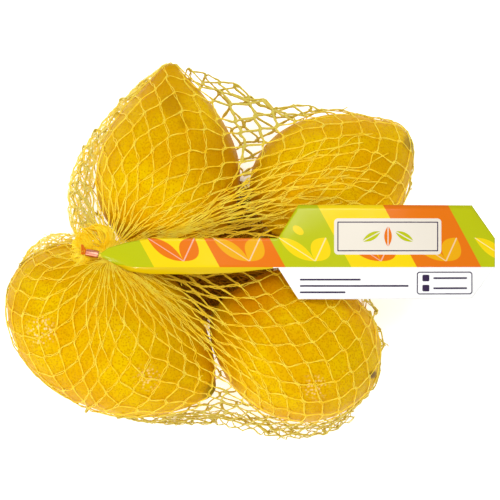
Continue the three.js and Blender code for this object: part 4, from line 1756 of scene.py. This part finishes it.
FOLDS = (
    NetFold(
        "net_fold_left",
        ((-66.4, 3.5, 30, 3.0), (-69.6, 9.5, 24, 4.2), (-71.0, 17.5, 20, 4.6), (-71.2, 25.5, 18, 4.4),
         (-69.0, 36.0, 17, 3.6), (-62.8, 47.0, 17, 2.8), (-53.6, 58.8, 19, 2.2), (-43.6, 68.2, 24, 1.6),
         (-34.6, 75.4, 28, 1.0)),
        wales=7, layers=3, thickness=5.5, radius=0.15, seed=SEED + 11),
    NetFold(
        "net_fold_corner",
        ((-95.0, -11.0, 24, 1.0), (-92.0, -4.0, 26, 1.6), (-86.5, 1.4, 29, 2.2), (-79.5, 4.0, 33, 2.4),
         (-72.5, 3.6, 38, 2.6)),
        wales=5, layers=3, thickness=3.6, radius=0.14, loose_ends=0.2, seed=SEED + 13),
    NetFold(
        "net_fold_lower",
        ((-60.0, -66.5, 13, 2.0), (-47.0, -70.3, 8, 2.0), (-32.0, -71.6, 6, 2.2), (-14.0, -71.0, 5, 3.0),
         (4.0, -74.6, 4.5, 3.4), (18.0, -77.4, 4.5, 2.6), (33.0, -75.0, 5, 2.2), (44.0, -69.0, 7, 1.8)),
        wales=4, layers=1, thickness=2.2, radius=0.16, loose_ends=0.15, tone=StrandTone.ON_TABLE,
        seed=SEED + 12),
    NetFold(
        "net_fold_right",
        ((-34.0, 7.5, 49, 2.0), (-20.0, 12.5, 50, 4.0), (-6.0, 17.5, 51, 6.0), (8.0, 22.0, 51, 8.5),
         (24.0, 26.5, 53, 11.0), (40.0, 30.5, 50, 12.5), (54.0, 33.5, 42, 13.5)),
        wales=13, layers=1, thickness=0.3, link=17.0, radius=0.115, shuffle=0.25, ragged=4,
        loose_ends=0.0, tone=StrandTone.ON_LEMON, seed=SEED + 14),
)


def strand_mesh(name: str, lines: Sequence[Array], radii: Sequence[Array | float]) -> bpy.types.Mesh:
    """Turn lines into round filaments with closed ends.

    Args:
        name: Name of the mesh.
        lines: Each filament's points in millimetres.
        radii: Radius of each filament, or of each of its points, in millimetres.

    Returns:
        The filaments as one mesh.
    """
    curve = bpy.data.curves.new(name, "CURVE")
    curve.dimensions = "3D"
    curve.bevel_depth = MM
    curve.bevel_resolution = 1
    curve.use_fill_caps = True
    for line, radius in zip(lines, radii):
        spline = curve.splines.new("POLY")
        spline.points.add(len(line) - 1)
        resting = np.column_stack([line[:, :2], np.maximum(line[:, 2], radius)])
        places = np.column_stack([to_row(resting), np.ones(len(line))])
        spline.points.foreach_set("co", places.astype(np.float32).ravel())
        spline.points.foreach_set("radius", np.broadcast_to(np.float32(radius), len(line)))
    holder = bpy.data.objects.new(name + "_curve", curve)
    link(holder)
    bpy.context.view_layer.update()
    evaluated = holder.evaluated_get(bpy.context.evaluated_depsgraph_get())
    mesh = bpy.data.meshes.new_from_object(evaluated)
    mesh.name = name
    mesh.polygons.foreach_set("use_smooth", [True] * len(mesh.polygons))
    bpy.data.objects.remove(holder)
    bpy.data.curves.remove(curve)
    return mesh


# ---- clips ----


def turn_about(axis: str, degrees: float) -> Matrix:
    """Turn about an axis, anticlockwise."""
    return Matrix.Rotation(math.radians(degrees), 3, axis)


@dataclass
class RolledClip:
    """Short oval band of rolled metal, crimped round the bundle of strands.

    The dent holds its depth, its turn round the band and its spread in radians.
    """

    name: str
    node: str
    centre: Place
    heading: float = 0.0
    length: float = 5.1
    bore_width: float = 2.1
    bore_height: float = 2.1
    wall: float = 0.36
    swell: float = 0.1
    dent: Place = (0.14, -1.2, 0.35)
    rounding: float = 0.4
    tolerance: float = 0.05
    sides: int = 64
    rings: int = 12

    def build(self, material: Material) -> None:
        """Make the clip and link it."""
        bm = bmesh.new()
        circle = bmesh.ops.create_circle(bm, segments=self.sides, radius=1.0, cap_ends=False)
        bmesh.ops.rotate(bm, verts=circle["verts"], cent=(0, 0, 0), matrix=turn_about("Y", 90))
        bmesh.ops.translate(bm, verts=bm.verts, vec=(-self.length / 2, 0, 0))
        edges = list(bm.edges)
        for _ in range(self.rings):
            grown = bmesh.ops.extrude_edge_only(bm, edges=edges)["geom"]
            verts = [part for part in grown if isinstance(part, bmesh.types.BMVert)]
            edges = [part for part in grown if isinstance(part, bmesh.types.BMEdge)]
            bmesh.ops.translate(bm, verts=verts, vec=(self.length / self.rings, 0, 0))
        for vert in bm.verts:
            self.shape_wall(vert)
        bmesh.ops.recalc_face_normals(bm, faces=bm.faces)
        bmesh.ops.solidify(bm, geom=bm.faces[:], thickness=-self.wall)
        rims = [edge for edge in bm.edges if self.on_rim(edge)]
        bmesh.ops.bevel(
            bm, geom=rims, offset=self.wall * self.rounding, offset_type="OFFSET", segments=3, profile=0.5,
            affect="EDGES", material=-1, clamp_overlap=True)
        bmesh.ops.recalc_face_normals(bm, faces=bm.faces)
        bmesh.ops.rotate(bm, verts=bm.verts, cent=(0, 0, 0), matrix=turn_about("Z", self.heading))
        mesh = mesh_from(bm, self.name)
        write_vertices(mesh, to_row(vertex_array(mesh) + self.centre))
        add_piece(mesh, Slot.METAL, self.node, material)

    def shape_wall(self, vert: bmesh.types.BMVert) -> None:
        """Move a point of the unit tube to the crimped oval wall."""
        share = abs(vert.co.x) / (self.length / 2)
        bulge = self.swell * (1 - share**2)
        turn = math.atan2(vert.co.z, vert.co.y)
        depth, middle, spread = self.dent
        dent = depth * math.exp(-(((turn - middle) / spread) ** 2))
        vert.co.y = math.cos(turn) * (self.bore_width / 2 + bulge - dent)
        vert.co.z = math.sin(turn) * (self.bore_height / 2 + bulge - dent)

    def on_rim(self, edge: bmesh.types.BMEdge) -> bool:
        """Whether an edge runs round one of the tube's end faces."""
        ends = [abs(abs(vert.co.x) - self.length / 2) < self.tolerance for vert in edge.verts]
        lengthwise = abs(edge.verts[0].co.x - edge.verts[1].co.x) > self.tolerance
        if not all(ends) or lengthwise or len(edge.link_faces) != 2:
            return False
        return edge.calc_face_angle(0) > 1.0


# ---- label ----


@dataclass
class FilmLabel:
    """Glossy printed film: a narrow tail in the clip, a stem and a broad free panel.

    Each station holds x, upper edge y, fold line y, lower edge y, height z and how far the
    lower edge is turned down.
    """

    UV_NAME: ClassVar[str] = "film"
    UV_SPAN: ClassVar[float] = 180.0
    UV_ORIGIN: ClassVar[Pair] = (-70.0, -60.0)

    tail_height: float = CLIP_CENTRE[2] + 0.6
    tail_curl: float = 1.3
    film: float = 0.16
    shoulder: float = 0.95
    shoulder_width: float = 1.6
    pinch_place: float = -54.0
    pinch_reach: float = 6.5
    drop_power: Pair = (1.4, 0.3)
    crown: float = 0.35
    crown_start: float = 12
    wave: float = 0.22
    wave_lengths: Pair = (7.5, 8)
    calm_end: float = -50
    calm_fade: float = 20
    step: float = 0.7
    half_rows: int = 12
    smoothing: float = 6.0

    @property
    def stations(self) -> Array:
        """Measures of the film at named places along it."""
        return np.array([
            (-67.0, 2.1, 0.6, -1.9, self.tail_height + self.tail_curl, 0),
            (-66.3, 1.9, 0.3, -2.1, self.tail_height + 0.4 * self.tail_curl, 0),
            (-65.2, -0.2, -1.1, -1.85, self.tail_height, 0),
            (-59.3, -1.45, -2.55, -2.86, self.tail_height, 0),
            (-56.5, 0.6, -3.6, -4.4, 55.2, 0.3),
            (-48.7, 2.9, -6.6, -8.6, 55.8, 1.4),
            (-40.0, 4.5, -7.0, -9.8, 56.4, 2.2),
            (-20.0, 4.5, -7.0, -9.9, 57.4, 2.3),
            (-6.0, 4.5, -7.0, -9.2, 57.9, 1.6),
            (10.9, 4.5, -7.0, -7.2, 58.4, 0),
            (18.9, 17.6, -7.0, -19.6, 58.6, 0.2),
            (45.0, 17.6, -7.0, -19.6, 58.6, 0.4),
            (68.0, 17.6, -7.0, -19.6, 57.2, 0.3),
            (88.0, 17.6, -7.0, -19.6, 53.6, 0),
            (97.4, 4.5, -7.0, -7.4, 51.3, 0),
        ])

    def cuts(self) -> Array:
        """Places along the film of its cross-sections, with one at every station."""
        marks = self.stations[:, 0]
        pieces = [
            np.linspace(start, end, math.ceil((end - start) / self.step), endpoint=False)
            for start, end in zip(marks, marks[1:])]
        return np.concatenate([*pieces, marks[-1:]])

    def measure(self, x: Array, column: int) -> Array:
        """One measure of the stations at places along the film."""
        return np.interp(x, self.stations[:, 0], self.stations[:, column])

    def height(self, x: Array) -> Array:
        """Height of the film, smoothed so that it bends without creases."""
        taps = [self.measure(x + tap * self.smoothing, 4) for tap in (-1, -0.5, 0, 0.5, 1)]
        return np.where(x < self.stations[3, 0], self.measure(x, 4), np.mean(taps, axis=0))

    def build(self, printed: Material, plain: Material) -> None:
        """Make the label and link it.

        Args:
            printed: Material of the upper face.
            plain: Material of the underside.
        """
        bm = bmesh.new()
        x = self.cuts()
        rows = 2 * self.half_rows
        bmesh.ops.create_grid(bm, x_segments=len(x) - 1, y_segments=rows, size=1.0)
        uv = bm.loops.layers.uv.new(self.UV_NAME)
        flat = {}
        for vert in bm.verts:
            column = round((vert.co.x + 1) / 2 * (len(x) - 1))
            row = round((vert.co.y + 1) / 2 * rows)
            place, laid = self.place(float(x[column]), row)
            vert.co = place
            flat[vert] = laid
        for face in bm.faces:
            for loop in face.loops:
                loop[uv].uv = [(flat[loop.vert][k] - self.UV_ORIGIN[k]) / self.UV_SPAN for k in (0, 1)]
        bmesh.ops.recalc_face_normals(bm, faces=bm.faces)
        if sum(face.normal.z for face in bm.faces) < 0:
            bmesh.ops.reverse_faces(bm, faces=bm.faces)
        bmesh.ops.solidify(bm, geom=bm.faces[:], thickness=self.film)
        for face in bm.faces:
            face.material_index = (FilmSide.PRINTED if face.normal.z > 0 else FilmSide.PLAIN).value
        mesh = mesh_from(bm, "label_film")
        write_vertices(mesh, to_row(vertex_array(mesh)))
        add_piece(mesh, Slot.FILM, "label", printed, plain)

    def place(self, x: float, row: int) -> tuple[Place, Pair]:
        """Place of a grid point of the film.

        Args:
            x: Distance along the film.
            row: Row across it, 0 at the lower edge.

        Returns:
            The point in space, and the same point on the film laid flat.
        """
        top, fold, bottom, drop = (float(self.measure(np.array(x), k)) for k in (1, 2, 3, 5))
        height = float(self.height(np.array(x)))
        above = row >= self.half_rows
        share = abs(row - self.half_rows) / self.half_rows
        edge = top if above else bottom
        y = fold + (edge - fold) * share
        pinch = math.exp(-(((x - self.pinch_place) / self.pinch_reach) ** 4))
        shoulder = self.shoulder * pinch * math.exp(-abs(y - fold) / self.shoulder_width)
        power = self.drop_power[0] - self.drop_power[1] * pinch
        bend = shoulder if above else self.shoulder * pinch + drop * share**power
        crown = self.crown * math.sin(math.pi * share) if above and x > self.crown_start else 0.0
        wave = self.wave * math.sin(x / self.wave_lengths[0]) * math.sin(y / self.wave_lengths[1] + 1)
        calm = min(1.0, max(0.0, (x - self.calm_end) / self.calm_fade))
        z = height - bend + crown + wave * calm
        laid_y = y if above else fold - math.hypot(fold - y, bend)
        return (x, y, z), (x, laid_y)


# ---- studio ----


@dataclass(frozen=True)
class SoftLight:
    """A round area light that faces the pack: its place and width in millimetres, and watts."""

    name: str
    place: Place
    size: float
    power: float

    def build(self) -> None:
        """Add the light."""
        light = bpy.data.lights.new(self.name, "AREA")
        light.shape = "DISK"
        light.size = self.size * MM
        light.energy = self.power
        lamp = bpy.data.objects.new(self.name, light)
        lamp.location = Vector(self.place) * MM
        lamp.rotation_euler = (-lamp.location).to_track_quat("-Z", "Y").to_euler()
        link(lamp)


@dataclass(frozen=True)
class Studio:
    """Pale floor, soft light and a camera straight over the pack."""

    millimetres_per_pixel: float = 0.41
    pixels: int = 500
    middle_height: float = 30.0
    lens: float = 135.0
    sensor: float = 36.0
    view_centre: Pair = (-0.2, -0.2)
    clip_end: float = 10
    # The floor's painted glow fades in between these distances from the hollow under the pack.
    hollow: Place = (-10.0, 0.0, 0.0)
    hollow_reach: Pair = (26.0, 38.0)
    floor_half: float = 3000
    floor_tone: Colour = (0.96, 0.96, 0.96, 1)
    floor_roughness: float = 0.9
    floor_glow: float = 0.56
    white: Colour = (1, 1, 1, 1)
    surround: float = 0.56
    lights: tuple[SoftLight, ...] = (
        SoftLight("left", (-565, -330, 420), 62, 0.6),
        SoftLight("front", (-263, -551, 440), 150, 1.5),
        SoftLight("key", (10, 290, 900), 440, 3.7),
    )

    def build(self) -> None:
        """Set up the floor, the lights, the world and the camera."""
        self.add_floor()
        for light in self.lights:
            light.build()
        self.add_world()
        self.add_camera()
        view = bpy.context.scene.view_settings
        view.view_transform = "Standard"
        view.look = "None"
        view.exposure = 0.0
        view.gamma = 1.0

    def add_floor(self) -> None:
        """A wide matt white floor."""
        bm = bmesh.new()
        bmesh.ops.create_grid(bm, x_segments=1, y_segments=1, size=self.floor_half * MM)
        floor = bpy.data.objects.new("floor", mesh_from(bm, "floor", smooth=False))
        link(floor)
        floor.data.materials.append(self.floor_material())

    def floor_material(self) -> Material:
        """Matt white with a painted glow that keeps it pale in the pack's shadow, except in its middle."""
        shader = Shader("floor")
        low, high = (reach * MM for reach in self.hollow_reach)
        away = shader.plan_distance(shader.objects_place(), to_row(self.hollow))
        glow = shader.ramp(away, low, high)
        shader.set(
            base_color=self.floor_tone, roughness=self.floor_roughness, emission_color=self.white,
            emission_strength=shader.times(glow, self.floor_glow))
        return shader.material

    def add_world(self) -> None:
        """An even white surround."""
        world = bpy.data.worlds.new("surround")
        world.use_nodes = True
        background = world.node_tree.nodes["Background"]
        background.inputs["Color"].default_value = self.white
        background.inputs["Strength"].default_value = self.surround
        bpy.context.scene.world = world

    def add_camera(self) -> None:
        """A long lens straight above, at the scale of the pack's middle."""
        data = bpy.data.cameras.new("camera")
        data.lens = self.lens
        data.sensor_width = self.sensor
        data.clip_end = self.clip_end
        width = self.millimetres_per_pixel * self.pixels
        distance = width * self.lens / self.sensor
        camera = bpy.data.objects.new("camera", data)
        place = np.array([*self.view_centre, self.middle_height + distance])
        camera.location = Vector(to_row(place))
        link(camera)
        bpy.context.scene.camera = camera


# ---- main ----


def main() -> None:
    """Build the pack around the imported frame."""
    logging.basicConfig(level=logging.INFO, format="%(message)s")
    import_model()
    Studio().build()
    rind = RindFinish().build("lemon_rind")
    for number, form in enumerate(LEMONS):
        Lemon(form, seed=SEED + number).build(rind)
    strands = {tone: finish.build(tone.value) for tone, finish in STRAND_FINISHES.items()}
    KnittedNet().build(strands[StrandTone.ON_LEMON])
    for slack in (*HEAPS, *FOLDS):
        slack.build(strands[slack.tone])
    metal = ClipFinish().build("clip_metal")
    RolledClip("clip_band", "clip", CLIP_CENTRE, CLIP_HEADING).build(metal)
    RolledClip("clip_band_under", "clip_under", UNDER_CLIP_CENTRE).build(metal)
    FilmLabel().build(PrintFinish().build("label_print"), FilmBackFinish().build("label_back"))


if __name__ == "__main__":
    main()
